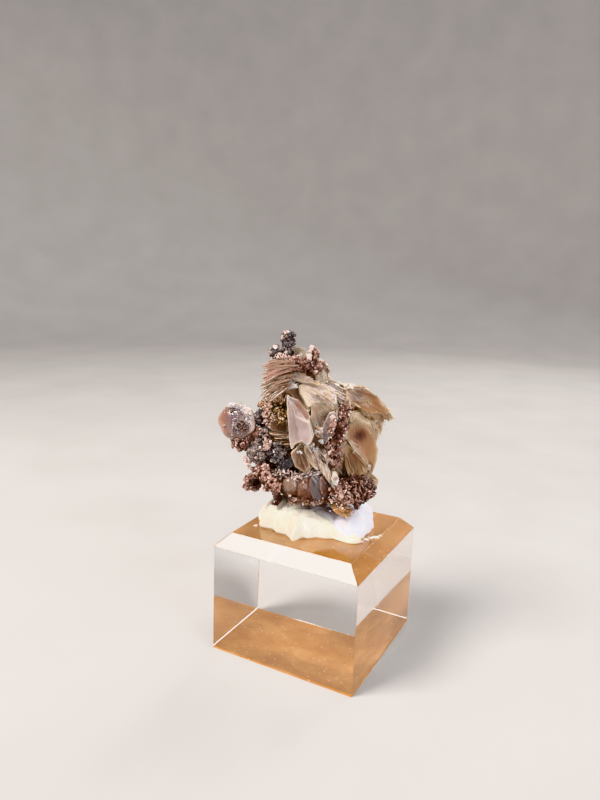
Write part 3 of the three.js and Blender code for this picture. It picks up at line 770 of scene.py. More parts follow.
BACK_RIGHT = [
    (-1.6, 22.4), (0.4, 24.4), (3, 26.8), (5.4, 26), (7.2, 24.2), (7.4, 21), (8, 18.4), (6.6, 15.6),
    (5.4, 13), (2.8, 12.6), (0.6, 13.2), (-0.4, 16), (-1.8, 18.6),
]
BACK_LEFT = [
    (-10, 19.2), (-9, 22), (-6.6, 23.4), (-4.2, 24), (-2, 21.6), (-1.4, 17.6), (-2, 14.6), (-4.6, 12.2),
    (-7, 13.2), (-8.4, 14.2), (-9, 16.8),
]
HEART_MASSES = [
    ((-1, 1.3, 19.2), (7.8, 6, 12)), ((-5.6, 0.9, 26.2), (4.6, 4.5, 5.4)),
    ((-0.8, -2.4, 15.6), (3.6, 2.9, 3.8)),
]
heart_skins = [lump_skin(one, 0.45) for one in HEART_MASSES]
# Painted light: the pale leaf's and the bright plate's high tones, 1.1 and 0.75, are partly their own paler
# colour and partly the key light falling on their upturned faces.
for corners, y, normal, deep, root, dish, tone, steps, laid in [
    (PALE_LEAF, -4.7, facing(0, 38), 0.8, (-8.7, 30), 0.2, 1.1, 0, 70),
    (RIDGE_BAND, -3.9, facing(6, 40), 1, (-8.6, 32.6), 0.1, 0.45, 1, 70),
    (BRIGHT_PLATE, -4.3, facing(10, 30), 1, (-6.8, 32), -0.3, 0.75, 0, 70),
    (CENTRE_PLATE, -4.9, facing(8, 10), 1.1, (-3.4, 27.9), 0.7, 0.6, 0, 24),
    (PALE_RIM, -5.8, facing(-14, -4), 1.1, (-3.6, 25.7), 0.1, 0.8, 0, 0),
    (FEATHER_PLATE, -1.4, facing(24, 40), 1.2, (-1.6, 31.1), -0.2, 0.6, 1, 70),
    (LOW_RHOMB, -6.4, facing(-4, -4), 1, (-4.5, 20.4), 0.3, 0.15, 0, 24),
    (RIGHT_RHOMB, -6.9, facing(20, 0), 1, (-4, 20.2), 0.2, 0.4, 0, 0),
    (CROSS_BLADE, -6.9, facing(-10, 0), 0.6, (-4.4, 18.2), 0, 0.75, 0, 0),
    (BROWN_BLADE, -7, facing(-16, 0), 0.6, (-5.5, 19.3), 0.2, -0.1, 0, 0),
    (LONG_BLADE, -6.9, facing(20, 0), 0.6, (-0.9, 16.7), 0, 1.0, 0, 0),
    (THIN_BLADE, -7, facing(14, 0), 0.5, (0.4, 16.7), 0, 1.1, 0, 0),
    (SMALL_RHOMB, -7.4, facing(8, 0), 1.1, (2.2, 14.9), 0.1, 1.3, 0, 0),
    (HOLLOW_SILL, -3.9, facing(-10, 20), 1, (-9.3, 24.5), -0.2, 0.2, 0, 0),
    (HOLLOW_LEDGE, -4.6, facing(-14, 40), 1, (-6.4, 21.8), 0, 0.2, 0, 0),
    (SHADED_PLATE, -3.8, facing(4, 24), 0.8, (-9, 34), 0.2, 0.2, 0, 0),
    (BACK_HIGH, 5.2, facing(12, -24), 0.9, (-4, 34), 0.5, 0.5, 1, 0),
    (BACK_RIGHT, 5.6, facing(-28, 4), 0.9, (0, 28), -0.5, 0.6, 1, 0),
    (BACK_LEFT, 5, facing(24, 10), 0.9, (-5, 26), 0.5, 0.4, 1, 0),
    (BRIGHT_PLATE, 5, facing(-24, -30), 0.6, (-1, 24), 0.4, 0.6, 0, 0),
    (FEATHER_PLATE, 4.6, facing(-16, -34), 0.6, (0, 24), 0.3, 0.5, 1, 0),
    (LOW_RHOMB, 6, facing(6, 6), 0.6, (-1, 24), 0.3, 0.7, 0, 0),
]:
    if laid:
        heart_skins.append(streaks(
            corners, y, normal, root, laid, 2.4, 0.1, 300 + len(heart_skins), (tone, tone + 0.5), dish,
        ))
    heart_skins += book(
        corners, y, normal, deep, len(heart_skins), root, steps=steps, dish=dish, tone=tone,
        fold=0.05 if y < 0 else 0.18, teeth=0.03 if y < 0 else 0.06,
    )
for i, height in enumerate(SHELF_HEIGHTS):
    edge = round_edge((3.7, 3.7), 5, 0.12, seed=i)
    heart_skins.append(plate(
        (-8, -1.6 - 0.06 * i, height), facing(-20, 66 + 3 * i), edge, thick=0.26, warp=0.06, seed=i,
        tone=0.02 + 0.1 * (i % 3), pale=0.9,
    ))
heart_skins.append(feathers(HEART_MASSES, 1.0, 2.2, 0.3, (-6, -3, 33), seed=21))
rng = np.random.default_rng(22)
for start, end, count, flow, length in [
    ((-1.4, -3.2, 31), (4.6, -1.6, 27.6), 90, (0.75, 0.1, -0.55), 2),
    ((-4, -4.6, 30.6), (1, -4.8, 28), 60, (0.7, -0.2, -0.7), 1.8),
    ((-3.4, -6.4, 19.4), (0.6, -6.2, 17.6), 46, (0.5, -0.35, -0.8), 2.4),
    ((-1.4, -6.6, 16.6), (2, -6.2, 13.6), 40, (0.45, -0.3, -0.85), 2.8),
]:
    where = start + rng.random((count, 1)) * np.subtract(end, start)
    where = where + rng.normal(size=(count, 3)) * 0.35
    heart_skins.append(splinters(
        rng, where, flow, 0.16, facing(10, 30), 0.35, (0.5 * length, 1.2 * length), (0.06, 0.16), (0.6, 1.1),
        thick=0.06,
    ))


def calc(tree, operation, *values, **settings):
    """The result of one number operation on the values."""
    return node(tree, "Math", enumerate(values), operation=operation, **settings).outputs[0]


def fibre_noise(group, given):
    """The fine fibres of a leaf: noise over its marks, stretched ten times along the fibres and bent a
    little by the place."""
    bent = calc(group, "MULTIPLY_ADD", noise(group, 420, 1.0), 0.7, mark(group, "growth"))
    slow = calc(group, "MULTIPLY", mark(group, "along"), 0.1)
    spot = node(group, "CombineXYZ", [("X", bent), ("Y", slow)]).outputs[0]
    scaled = node(group, "VectorMath", [(0, spot), ("Scale", given["Fibres per mm"])], operation="SCALE")
    return node(group, "TexNoise", [
        ("Vector", scaled.outputs[0]), ("Scale", 1.0), ("Detail", 3.0),
    ]).outputs["Fac"]


fibre_group = new_group("fibre_lines", ["Fibres per mm"], "Fibres", fibre_noise)


def calcite_look(name, stops, rim_highlight_colour, rim_highlight_share=0.75, stains=(), clear=0.1, roughness=0.32, per_mm=3.2,
                 ior=1.6, soft=0.6, veins=0.45, coat=()):
    """Cleaved calcite. Clouds and each leaf's tone blend the colours of the stops, fibres darken and lighten
    them, rims are paler, partly as the thin edges' own colour and partly as a painted edge highlight, and
    stains are soft balls of another colour, each (place in mm, radius in mm, share, colour). Some of the
    stains are painted shade."""
    look, tree, shader = new_look(name, [
        ("Transmission Weight", clear), ("IOR", ior), ("Metallic", 0.0), ("Subsurface Weight", soft),
        ("Subsurface Scale", 1.2 * MM), ("Subsurface Radius", (1.0, 0.75, 0.5)), *coat,
    ])
    cloud = noise(tree, 330, 4.0, 0.6)
    lines = node(tree, "Group", [("Fibres per mm", per_mm)], node_tree=fibre_group).outputs["Fibres"]
    even = calc(tree, "MULTIPLY_ADD", cloud, 0.55, -0.02)
    tint = ramp(tree, calc(tree, "MULTIPLY_ADD", mark(tree, "tone"), 0.45, even), stops)
    for middle, radius, share, stain in stains:
        world = on_block(np.array(middle, dtype=float))
        ends = [(0, object_place(tree)), (1, world.tolist())]
        away = node(tree, "VectorMath", ends, operation="DISTANCE").outputs["Value"]
        ball = ranged(
            tree, away, radius * MM, 0.15 * radius * MM, 0.0, 1.9 * share, interpolation_type="SMOOTHSTEP",
        )
        tint = mixed(tree, calc(tree, "MULTIPLY", ball, cloud, use_clamp=True), tint, colour(*stain))
    shade = ramp(
        tree, lines, [(0.34, 0.62, 0.56, 0.5), (0.5, 1, 1, 1), (0.66, 1.25, 1.25, 1.25)],
        tint=lambda red, green, blue: (red, green, blue, 1),
    )
    tint = mixed(tree, veins, tint, shade, "MULTIPLY")
    # Painted highlight: the outermost rings of each leaf and the outline of the lens turn towards the pale
    # rim colour, partly the thin edges' own colour and partly an edge highlight.
    edge = calc(tree, "POWER", mark(tree, "rim_highlight"), 11.0)
    tint = mixed(tree, calc(tree, "MULTIPLY", edge, rim_highlight_share), tint, colour(*rim_highlight_colour))
    tree.links.new(tint, shader.inputs["Base Color"])
    rough = ranged(tree, lines, 0.3, 0.7, roughness - 0.1, roughness + 0.14)
    tree.links.new(rough, shader.inputs["Roughness"])
    emboss(tree, shader, calc(tree, "MULTIPLY_ADD", noise(tree, 1500, 3.0, 0.6), 0.3, lines), 0.35, 0.1)
    return look


HONEY_STOPS = [
    (0.2, 122, 86, 64), (0.38, 172, 134, 108), (0.56, 206, 172, 146), (0.76, 240, 218, 202),
    (1.0, 252, 246, 242),
]
# The cream rim colour is partly the edges' own colour and partly a painted edge highlight.
CREAM_RIM_HIGHLIGHT = (238, 220, 196)
SMOKE_AND_SHADE = (96, 62, 44)
# Painted shade: the smoky ball at (-7.6, -3.6, 21.8) darkens the hollow on the left as its shade, and the
# reddish-brown ball at (-8.5, -4.6, 29.5) is partly a stain and partly the painted shadow under the crown's
# fan. The other balls are smoky and rusty stains.
honey = calcite_look("honey_calcite", HONEY_STOPS, CREAM_RIM_HIGHLIGHT, veins=0.5, stains=[
    ((-5.8, -4.6, 27), 2.4, 0.6, (128, 84, 62)), ((-8.5, -4.6, 29.5), 1.8, 0.8, (132, 70, 54)),
    ((-3, -6.6, 18), 1.6, 0.6, SMOKE_AND_SHADE), ((-7.6, -3.6, 21.8), 3, 0.9, SMOKE_AND_SHADE),
    ((0.4, -4.4, 24.4), 1.8, 0.6, SMOKE_AND_SHADE), ((0.6, -5, 17.6), 2.4, 0.7, SMOKE_AND_SHADE),
    ((2.9, -7.4, 12.9), 0.7, 0.9, (128, 70, 60)),
])

GRAIN_OCTAHEDRON = np.array([(1., 0, 0), (-1, 0, 0), (0, 1, 0), (0, -1, 0), (0, 0, 1), (0, 0, -1)])
OCTAHEDRON_FACES = np.array([
    (0, 2, 4), (2, 1, 4), (1, 3, 4), (3, 0, 4), (2, 0, 5), (1, 2, 5), (3, 1, 5), (0, 3, 5),
])
GRAIN_RHOMB = np.array([(x, y, z) for z in (-1, 1) for x, y in ((-1, -1), (1, -1), (1, 1), (-1, 1))]) * 0.72
RHOMB_FACES = np.array([
    (0, 2, 1), (0, 3, 2), (4, 5, 6), (4, 6, 7), (0, 1, 5), (0, 5, 4), (1, 2, 6), (1, 6, 5), (2, 3, 7),
    (2, 7, 6), (3, 0, 4), (3, 4, 7),
])
GRAIN_FLAKE = np.array([
    (1.7 * math.cos(a), 1.3 * math.sin(a), z)
    for z in (-0.28, 0.28) for a in np.radians(np.arange(0, 360, 60))
])
FLAKE_FACES = np.array(
    [(0, i + 1, i) for i in range(1, 5)] + [(6, 6 + i, 7 + i) for i in range(1, 5)]
    + [(i, (i + 1) % 6, 6 + (i + 1) % 6) for i in range(6)] + [(i, 6 + (i + 1) % 6, 6 + i) for i in range(6)]
)


def turns(count, rng):
    """Random turns: the rotation matrices of random unit quaternions."""
    w, x, y, z = unit_rows(rng.normal(size=(count, 4))).T
    rows = [
        [1 - 2 * (y * y + z * z), 2 * (x * y - z * w), 2 * (x * z + y * w)],
        [2 * (x * y + z * w), 1 - 2 * (x * x + z * z), 2 * (y * z - x * w)],
        [2 * (x * z - y * w), 2 * (y * z + x * w), 1 - 2 * (x * x + y * y)],
    ]
    return np.moveaxis(np.array(rows), 2, 0)


def grains(places, size, tones, seed, shares=(0.5, 0.3), spread=0.45):
    """Tiny crystals at the places, of about that half width in millimetres, each stretched a little and
    turned at random: shares of eight-faced ones and of six-faced rhombs, and thin flakes for the rest.
    Each has one tone."""
    rng = np.random.default_rng(seed)
    made = []
    pick = np.digitize(rng.random(len(places)), np.cumsum(shares))
    for kind, (template, faces) in enumerate([
        (GRAIN_OCTAHEDRON, OCTAHEDRON_FACES), (GRAIN_RHOMB, RHOMB_FACES), (GRAIN_FLAKE, FLAKE_FACES),
    ]):
        at, tone = places[pick == kind], tones[pick == kind]
        stretch = size * np.exp(rng.normal(size=(len(at), 1)) * spread) * rng.uniform(0.75, 1.3, (len(at), 3))
        body = template[None] * stretch[:, None, :]
        points = np.einsum("nij,nkj->nki", turns(len(at), rng), body) + at[:, None, :]
        index = faces[None] + (np.arange(len(at)) * len(template))[:, None, None]
        made.append(marked(points.reshape(-1, 3), index.reshape(-1, 3), np.repeat(tone, len(template))))
    return made


def sprinkle(rng, middle, extent, count, size, tones, seed, even=False, **how):
    """count tiny crystals round a place: evenly within the extent, or thinning out over it like a bell
    curve."""
    way = rng.uniform(-1, 1, (count, 3)) if even else rng.normal(size=(count, 3))
    return grains(middle + way * extent, size, drawn(rng, tones, count), seed, **how)


def white_crystals(clusters, seed, tones):
    """Clusters of small white rhombs, each (middle, extent, count)."""
    made = []
    for i, (middle, extent, count) in enumerate(clusters):
        rng = np.random.default_rng(seed + i)
        made += sprinkle(
            rng, middle, extent, count, 0.2, tones, seed + 10 + i, even=True, shares=(0.3, 0.6), spread=0.3,
        )
    return made


heart_skins += white_crystals([
    ((1.9, -4.9, 28.6), (0.3, 0.2, 0.55), 14), ((-1.2, -6.8, 22), (0.4, 0.2, 0.4), 9),
    ((-0.5, -6.8, 22.6), (0.3, 0.2, 0.5), 8), ((-0.4, -6.6, 20), (0.4, 0.2, 0.3), 8),
    ((-4.5, -7.6, 18.1), (0.4, 0.1, 0.1), 6), ((-1.6, -7, 18.6), (0.6, 0.2, 0.4), 16),
    ((-2.2, -6.8, 19.2), (0.5, 0.2, 0.4), 12),
], 200, (1.1, 1.5))
dress(new_piece("honey_heart", heart_skins, crease=24), "calcite_heart", honey)


# The right wing is a stack of big honey plates on a narrow root, one in front of the other. They are thin and
# let the light through, with toothed pale edges, partly a painted edge highlight, and rust-brown stains
# inside; the two dark brown balls on the top plate's upper part are partly stain and partly painted shade.
# Pale splinters rim the top plate, and others lean from its lower edge back to the plate behind it.
WING_TOP = [
    (4.4, 29.6), (5.1, 30.3), (7.1, 30.1), (8.5, 29.7), (9.6, 29.1), (10.6, 28.4), (11.5, 27.1),
    (12.6, 25.8), (13.5, 24.7), (12.1, 24.6), (11, 25), (9.8, 24.8), (8.5, 25.2), (7.3, 25.9),
    (6.1, 27.1), (4.8, 27.8), (4.5, 28.7),
]
WING_MIDDLE = [
    (5.3, 25.3), (7.4, 25.6), (9.9, 24.7), (12.4, 24.3), (13.7, 24.2), (12.4, 24.1), (12.4, 23.1),
    (11.7, 22.7), (12.2, 21.6), (12, 20.9), (11.2, 21), (11.3, 19.9), (10.8, 19.3), (10.4, 19.8),
    (9.5, 19.4), (8.2, 21.5), (6.6, 22.4), (5.2, 23.1), (4.7, 24.3),
]
WING_BODY = [
    (4.2, 21.8), (5.2, 23.1), (6.7, 23.7), (8.7, 22.5), (10.3, 20.7), (11.1, 18.5), (11.2, 17.6),
    (11.2, 15.8), (10.7, 13.6), (10.5, 12.5), (9.8, 13.4), (8.8, 14.7), (7.7, 16.1), (6.2, 17.6),
    (5.2, 19.1), (4.4, 20.3),
]
WING_LOW = [
    (4.1, 17.6), (4.4, 18.5), (5, 18.9), (5.7, 18.2), (6.9, 16.8), (8.1, 15.5), (9.4, 13.9), (9.2, 12.9),
    (8, 12.5), (7.3, 11.2), (6.1, 10.8), (5.3, 12.4), (4.6, 14.5), (4.3, 16.2),
]
WING_LEAF = [
    (4.4, 17.3), (5.3, 15.9), (5.6, 14.7), (6.4, 13.7), (6.9, 11.2), (6.1, 11), (5.3, 12.7), (4.6, 14.7),
]
WING_TAIL = [
    (7.8, 14.6), (9.2, 13.7), (10.6, 12), (12, 10.7), (11.8, 9.5), (10.8, 8.6), (9.5, 9.3), (8.2, 10.4),
    (7.3, 12.2),
]
WING_EDGE = [
    (10.2, 19.4), (11.2, 18), (11.5, 17.1), (11.4, 14.8), (10.9, 12.5), (9.9, 12.8), (9.2, 15.1),
    (9.6, 18.2),
]
WING_ROOT = [((8.4, 1.3, 19.6), (2.5, 2.3, 8.8))]
wing_skins = [lump_skin(one, 0.6) for one in WING_ROOT]
for corners, y, normal, deep, root, dish, teeth, tone, steps, laid, length in [
    (WING_TOP, -1.5, facing(16, 20), 1, (4.4, 30), 0.5, 0.06, 0.16, 0, 40, 1.6),
    (WING_MIDDLE, -0.9, facing(20, 6), 1, (6.4, 27.6), -0.25, 0.05, 0.75, 1, 110, 3),
    (WING_BODY, -2.4, facing(10, 4), 1.2, (6, 26.4), 0.5, 0.01, 0.6, 0, 0, 0),
    (WING_LOW, -3.1, facing(-4, 0), 1.2, (4.4, 20.6), 0.45, 0.01, 0.5, 0, 40, 1.6),
    (WING_LEAF, -3.6, facing(-14, 2), 0.4, (4.4, 19), 0.1, 0.01, 0.7, 0, 0, 0),
    (WING_TAIL, -1.3, facing(24, -6), 0.9, (6.8, 16.4), 0.25, 0.03, 1.0, 0, 40, 1.6),
    (WING_EDGE, -0.5, facing(30, 0), 0.8, (9.5, 22), 0, 0.02, 0.75, 0, 0, 0),
]:
    wing_skins += book(
        corners, y, normal, deep, 30 + len(wing_skins), root, steps=steps, dish=dish, teeth=teeth, tone=tone,
        sides=128, loose=0.035, fold=0.025,
    )
    if laid:
        wing_skins.append(streaks(
            corners, y, normal, root, laid, length, 0.12, 350 + len(wing_skins), (0.55, 0.85), dish,
        ))
rng = np.random.default_rng(43)
aim = facing(16, 20)
middle = np.array([np.mean(WING_TOP, axis=0)[0], -1.5, np.mean(WING_TOP, axis=0)[1]])
for chain, count, back, tones in [
    ([(4.6, 30), (4.45, 28.7), (4.9, 27.7), (6, 27)], 26, 0.0, (0.9, 1.0)),
    ([(9.9, 29), (11.6, 27.1), (12.7, 25.8), (13.5, 24.8)], 26, 0.0, (0.85, 1.0)),
    ([(5.6, 30.4), (7.1, 30.2), (8.6, 29.8)], 14, 0.0, (0.85, 1.0)),
    ([(7.2, 26), (8.5, 25.3), (9.8, 24.9), (11, 25.1), (12.1, 24.7), (13.1, 24.8)], 90, 0.5, (0.4, 0.75)),
]:
    chain = np.array(chain)
    at = rng.uniform(0, len(chain) - 1.01, count)
    step = (chain[1:] - chain[:-1])[at.astype(int)]
    shown = chain[at.astype(int)] + step * (at % 1)[:, None]
    where = on_face(shown, middle, aim) + aim * 0.06
    if back:
        run = unit_rows(where - on_face(np.array([(4.4, 30)]), middle, aim)) + np.array([0, back, -0.35])
    else:
        run = unit_rows(on_face(shown + step, middle, aim) + aim * 0.06 - where)
    stray, widths = (0.16, (0.14, 0.3)) if back else (0.1, (0.098, 0.21))
    wing_skins.append(splinters(
        rng, where, run, stray, aim, 0.35, (1.2, 2.3), widths, tones, back=0.5, bend=0.0, thick=0.1,
    ))
for i, (middle, aim, half) in enumerate([
    ((9.9, 2, 24.2), facing(62, 14), (3.4, 4.4)), ((9.4, 2.6, 16.6), facing(75, -4), (3.2, 5.4)),
    ((8.6, 3, 21), facing(80, 6), (3.6, 5)), ((10.4, 1.4, 20.4), facing(66, 2), (3, 4.6)),
]):
    edge = round_edge(half, 5, 0.12, seed=i + 6)
    wing_skins.append(plate(middle, aim, edge, thick=0.5, dish=-0.3, teeth=0.06, tone=0.6, seed=i))
wing_skins.append(feathers(WING_ROOT, 1.8, 2.2, 0.36, (6, 0, 30), seed=41, tone=(0.4, 0.9), behind=1))
rng = np.random.default_rng(42)
WING_FRINGE = np.array([(12.6, -0.1, 24.4), (12, 0.1, 22.8), (11.6, 0, 21.2), (10.9, -0.2, 20)])
where = WING_FRINGE[rng.integers(0, 4, 60)] + rng.normal(size=(60, 3)) * (0.5, 0.5, 0.6) - (1.6, 0, -1)
wing_skins.append(splinters(
    rng, where, (0.75, 0.1, -0.55), 0.22, facing(20, 20), 0.4, (1, 2.1), (0.15, 0.45), (0.5, 0.8),
))
wing_skins += white_crystals([
    ((4.8, -2.2, 30.5), (0.8, 0.4, 0.35), 30), ((9.6, -2.9, 14.1), (0.2, 0.1, 0.4), 10),
    ((4.4, -3.2, 20.8), (0.2, 0.2, 1), 8), ((6.6, -3.5, 17.8), (1, 0.1, 1), 4),
], 220, (1.0, 1.4))
AMBER_STOPS = [
    (0.2, 114, 76, 50), (0.38, 148, 108, 74), (0.56, 176, 140, 102), (0.76, 222, 196, 164),
    (1.0, 250, 240, 232),
]
# Painted shade: the two dark brown balls at (7.2, -2, 29.2) and (9, -1.8, 28.4) are partly stains and partly
# the shade over the top plate's upper part. The others are rust-brown stains.
wing_look = calcite_look(
    "wing_calcite", AMBER_STOPS, (228, 206, 176), rim_highlight_share=0.4, per_mm=1.8, veins=0.4, soft=0.25, stains=[
        ((7.2, -2, 29.2), 2, 1.0, (98, 56, 36)), ((9, -1.8, 28.4), 1.7, 0.9, (108, 66, 42)),
        ((7.6, -2.9, 20.4), 3, 1.0, (150, 84, 48)), ((7.5, -2.9, 20.5), 2.1, 1.2, (84, 42, 28)),
        ((8.9, -2.6, 17.6), 2.6, 0.55, (174, 112, 70)), ((6.3, -3.4, 15.9), 2, 0.85, (148, 90, 62)),
    ],
)
dress(new_piece("honey_right_wing", wing_skins, crease=24), "calcite_right_wing", wing_look)


# The crown is a fan of thin fibrous leaves that point to the left, pink above and beige below, with loose
# flakes behind. The uppermost are pinkish from the grains above them.
CROWN_ROOTS = [((-6, 0.4, 32.8), (2.8, 3.2, 2.9)), ((-3.2, 1.4, 32.8), (3.6, 2.8, 2.8))]
RIGHT_FLAKE = [
    (-2.2, 34), (-1.1, 34.2), (-0.5, 33.6), (0.2, 32.6), (0.4, 31.5), (0.1, 30.6), (-1.1, 30.7),
    (-2, 31.4), (-2.3, 32.8),
]
BACK_FLAKE = [
    (-7.4, 35.9), (-7.2, 37.2), (-6.6, 37.8), (-5.6, 37.6), (-4.6, 37.3), (-3.9, 36.7), (-4.1, 35.6),
    (-5.3, 34.6), (-6.4, 34.6),
]
FAN_ROWS = [
    ((-6.6, -2.6, 35.4), (-7, -3, 33.2), 360, (6, 16), (5.5, 5.6), 0.85),
    ((-7, -3.2, 32.9), (-7.6, -3.8, 30.8), 400, (14, 26), (5.2, 5), 0.5),
    ((-7.4, -3.4, 31.2), (-8.3, -4.2, 30), 300, (22, 35), (5, 4.3), 0.36),
]
crown_skins = [lump_skin(one, 0.4) for one in CROWN_ROOTS]
rng = np.random.default_rng(51)
for top, foot, count, slopes, reaches, tone in FAN_ROWS:
    down = rng.random(count)
    bunch = waves(np.stack([9 * down, 0 * down, 0 * down], axis=-1), 1.6, count)
    slope = np.radians(np.interp(down, [0, 1], slopes) + 6 * bunch + rng.normal(size=count) * 3)
    aims = unit_rows(np.stack([-np.cos(slope), rng.normal(size=count) * 0.2 - 0.05, -np.sin(slope)], axis=-1))
    where = top + down[:, None] * np.subtract(foot, top)
    where = where + rng.normal(size=(count, 3)) * (0.5, 0.9, 0.12)
    up = rng.uniform(0.2, 0.7, count)
    level = rng.normal(size=count) * 0.16 - 1
    faces_to = unit_rows(np.stack([-up * np.sin(slope), level, up * np.cos(slope)], axis=-1))
    rounded = 1.04 - 0.24 * (2 * down - 1) ** 2
    lengths = np.interp(down, [0, 1], reaches) * rounded * (1 + 0.06 * bunch)
    lengths = lengths * (1 - 0.5 * rng.random(count) ** 2)
    crown_skins.append(blades(
        where, aims, faces_to, lengths, rng.uniform(0.1, 0.28, count),
        tone + 0.14 * bunch + rng.normal(size=count) * 0.12, bend=-0.06, thick=0.06,
        sweep=0.05 * bunch[:, None] + rng.normal(size=(count, 1)) * 0.03 - 0.09, pale=0.5,
    ))
for aim_up, middle, half, tone in [
    (8, (-9.4, -1.6, 34.2), (3, 1.3), 0.8), (20, (-9.8, -1.8, 31.9), (3, 1.4), 0.5),
    (32, (-9.9, -2, 29.9), (2.8, 1.3), 0.36), (14, (-9.6, 0.6, 33), (3, 1.6), 0.6),
    (26, (-9.6, 0.4, 31), (2.8, 1.6), 0.45),
]:
    edge = round_edge(half, 3, 0.1, seed=aim_up)
    crown_skins.append(plate(
        middle, facing(-6, 20), edge, thick=0.9, spin=aim_up, teeth=0.14, ribs=0.12, tone=tone,
        root=np.array([5.0, 0.0]), seed=aim_up,
    ))
for corners, y, normal, root in [
    (BACK_FLAKE, -0.7, facing(-6, 24), (-8, 34.6)), (RIGHT_FLAKE, -1.3, facing(16, 14), (-2, 36)),
]:
    crown_skins += book(corners, y, normal, 0.9, 71, root, teeth=0.06, tone=1.6)
    crown_skins.append(streaks(corners, y, normal, root, 90, 2, 0.1, 72, tone=(1.3, 1.8)))
edge = round_edge((3, 2.2), 5, 0.1, seed=4)
crown_skins.append(plate((-2.8, 2.6, 33.2), facing(170, 30), edge, thick=0.8, tone=0.5))
crown_skins.append(feathers(CROWN_ROOTS, 2.6, 2.4, 0.26, (-4, 0, 37), seed=73, tone=(0.35, 0.65), behind=0.2))
# Painted shadow: the crown's one stain, a reddish-brown ball at the fan's foot, is partly a stain and partly
# the shadow under the fan.
crown_look = calcite_look("crown_calcite", [
    (0.2, 100, 70, 52), (0.38, 134, 100, 78), (0.56, 166, 130, 104), (0.66, 168, 116, 98),
    (0.82, 204, 154, 138), (0.95, 222, 202, 172),
], CREAM_RIM_HIGHLIGHT, rim_highlight_share=0.4, soft=0.4, stains=[((-8.3, -4.6, 29.8), 2, 0.9, (122, 64, 52))])
dress(new_piece("honey_crown", crown_skins, crease=24), "calcite_crown", crown_look)


# The pearly blade stands in the middle of the show side: one pale pink-lavender plate with cream edges,
# partly a painted edge highlight, and a pearly sheen, and a second that opens from its tip like a V, stained
# brown inside. A grey-blue strip lines the ridge.
PEARLY_FRONT = [
    (-7.3, 29.2), (-6.9, 28.7), (-6.3, 27.6), (-5.7, 26.3), (-5.3, 25.4), (-4.3, 24.9), (-2.9, 24.3),
    (-2.5, 23.2), (-2, 21.6), (-2.4, 20.2), (-2.9, 19.6), (-3.9, 20.4), (-4.8, 20), (-5.5, 19.6),
    (-6, 18.5), (-6.3, 19.4), (-6.6, 21), (-6.8, 23.2), (-7.1, 25.5), (-7.3, 27.9),
]
PEARLY_BEHIND = [
    (-7.2, 29.2), (-6.1, 28.8), (-5.1, 28.4), (-4.2, 27.4), (-3.6, 26.6), (-2.9, 25.8), (-2.6, 24.7),
    (-2.9, 23.8), (-3.5, 24.3), (-4.3, 24.7), (-5.3, 25.3), (-5.7, 26.3), (-6.3, 27.6),
]
GREY_STRIP = [
    (1, 25.8), (2.4, 26.2), (2.8, 24.8), (2.2, 22.8), (1.6, 21), (0.6, 19.6), (-0.3, 21.2), (0, 23.6),
]
pearly_skins = []
for corners, y, normal, deep, dish, tone in [
    (PEARLY_FRONT, -8.3, facing(-12, 0), 1.6, 0.12, 0.5),
    (PEARLY_BEHIND, -7.4, facing(14, 4), 1.2, 0.25, 0.3),
    (GREY_STRIP, -6.2, facing(-8, 6), 1.6, -0.1, -0.25),
]:
    pearly_skins += book(
        corners, y, normal, deep, 80 + len(pearly_skins), (-7.3, 31), steps=0, dish=dish, teeth=0.0,
        sides=128, loose=0.012, fold=0.02, ribs=0.012, tone=tone,
    )
pearly_look = calcite_look("pearly_calcite", [
    (0.05, 118, 112, 116), (0.24, 140, 116, 106), (0.42, 154, 132, 128), (0.66, 184, 166, 164),
], (242, 228, 212), rim_highlight_share=0.5, clear=0.0, roughness=0.3, per_mm=1.6, veins=0.5, stains=[
    ((-5.2, -7.3, 26.8), 1.7, 1.0, (146, 96, 66)), ((-4, -7, 25.3), 1.5, 0.8, (168, 118, 98)),
    ((-4.4, -8.6, 19.6), 1.4, 0.7, (140, 100, 80)),
], coat=[("Coat Weight", 0.4), ("Coat Roughness", 0.25)])
dress(new_piece("pearly_pair", pearly_skins, crease=24), "pearly_blade", pearly_look)


# Low on the show side sits a ribbed crystal like a small shell: a smooth grey-brown bulge on its left,
# orange-brown ribs in the middle and purplish-grey curved slabs on its right, with pale crystals along
# its top.
DOME = ((-5.9, -5.6, 10.5), (1.8, 1.9, 2.1))
BODY = ((-3, -4.5, 10.3), (3.4, 3.1, 3.4))
SLAB = ((-0.5, -5, 11), (2, 2.3, 2.9))


def ribbed_skin(lump, ribs, depth, swell, tones, seed):
    """The closed skin of a rounded crystal with upright ribs. Its reach is 1, plus depth times the cosine
    of ribs times the share across it and 2.2 times a soft field, times 0.6 plus 0.4 of the field, plus
    swell times the field. The tone runs across it between the tones."""
    aim = directions(44, 84)
    at, half = np.array(lump[0]), np.array(lump[1])
    field = waves(at + half * aim, 1.6, seed)
    rib = np.cos(ribs * aim[..., 0] + 2.2 * field)
    push = 1 + depth * rib * (0.6 + 0.4 * field) + swell * field
    corners, faces = skin(at + half * aim * push[..., None])
    over = (corners[:, 0] - at[0]) / half[0]
    soft = waves(corners, 1.3, seed + 1)
    shine = np.append(0.06 * rib.ravel() * np.sign(depth), [0, 0])
    tone = np.interp(over, [-1, 1], tones) + 0.05 * soft + shine
    return marked(corners, faces, tone, 0, 3 * over + 0.4 * soft, corners[:, 2])


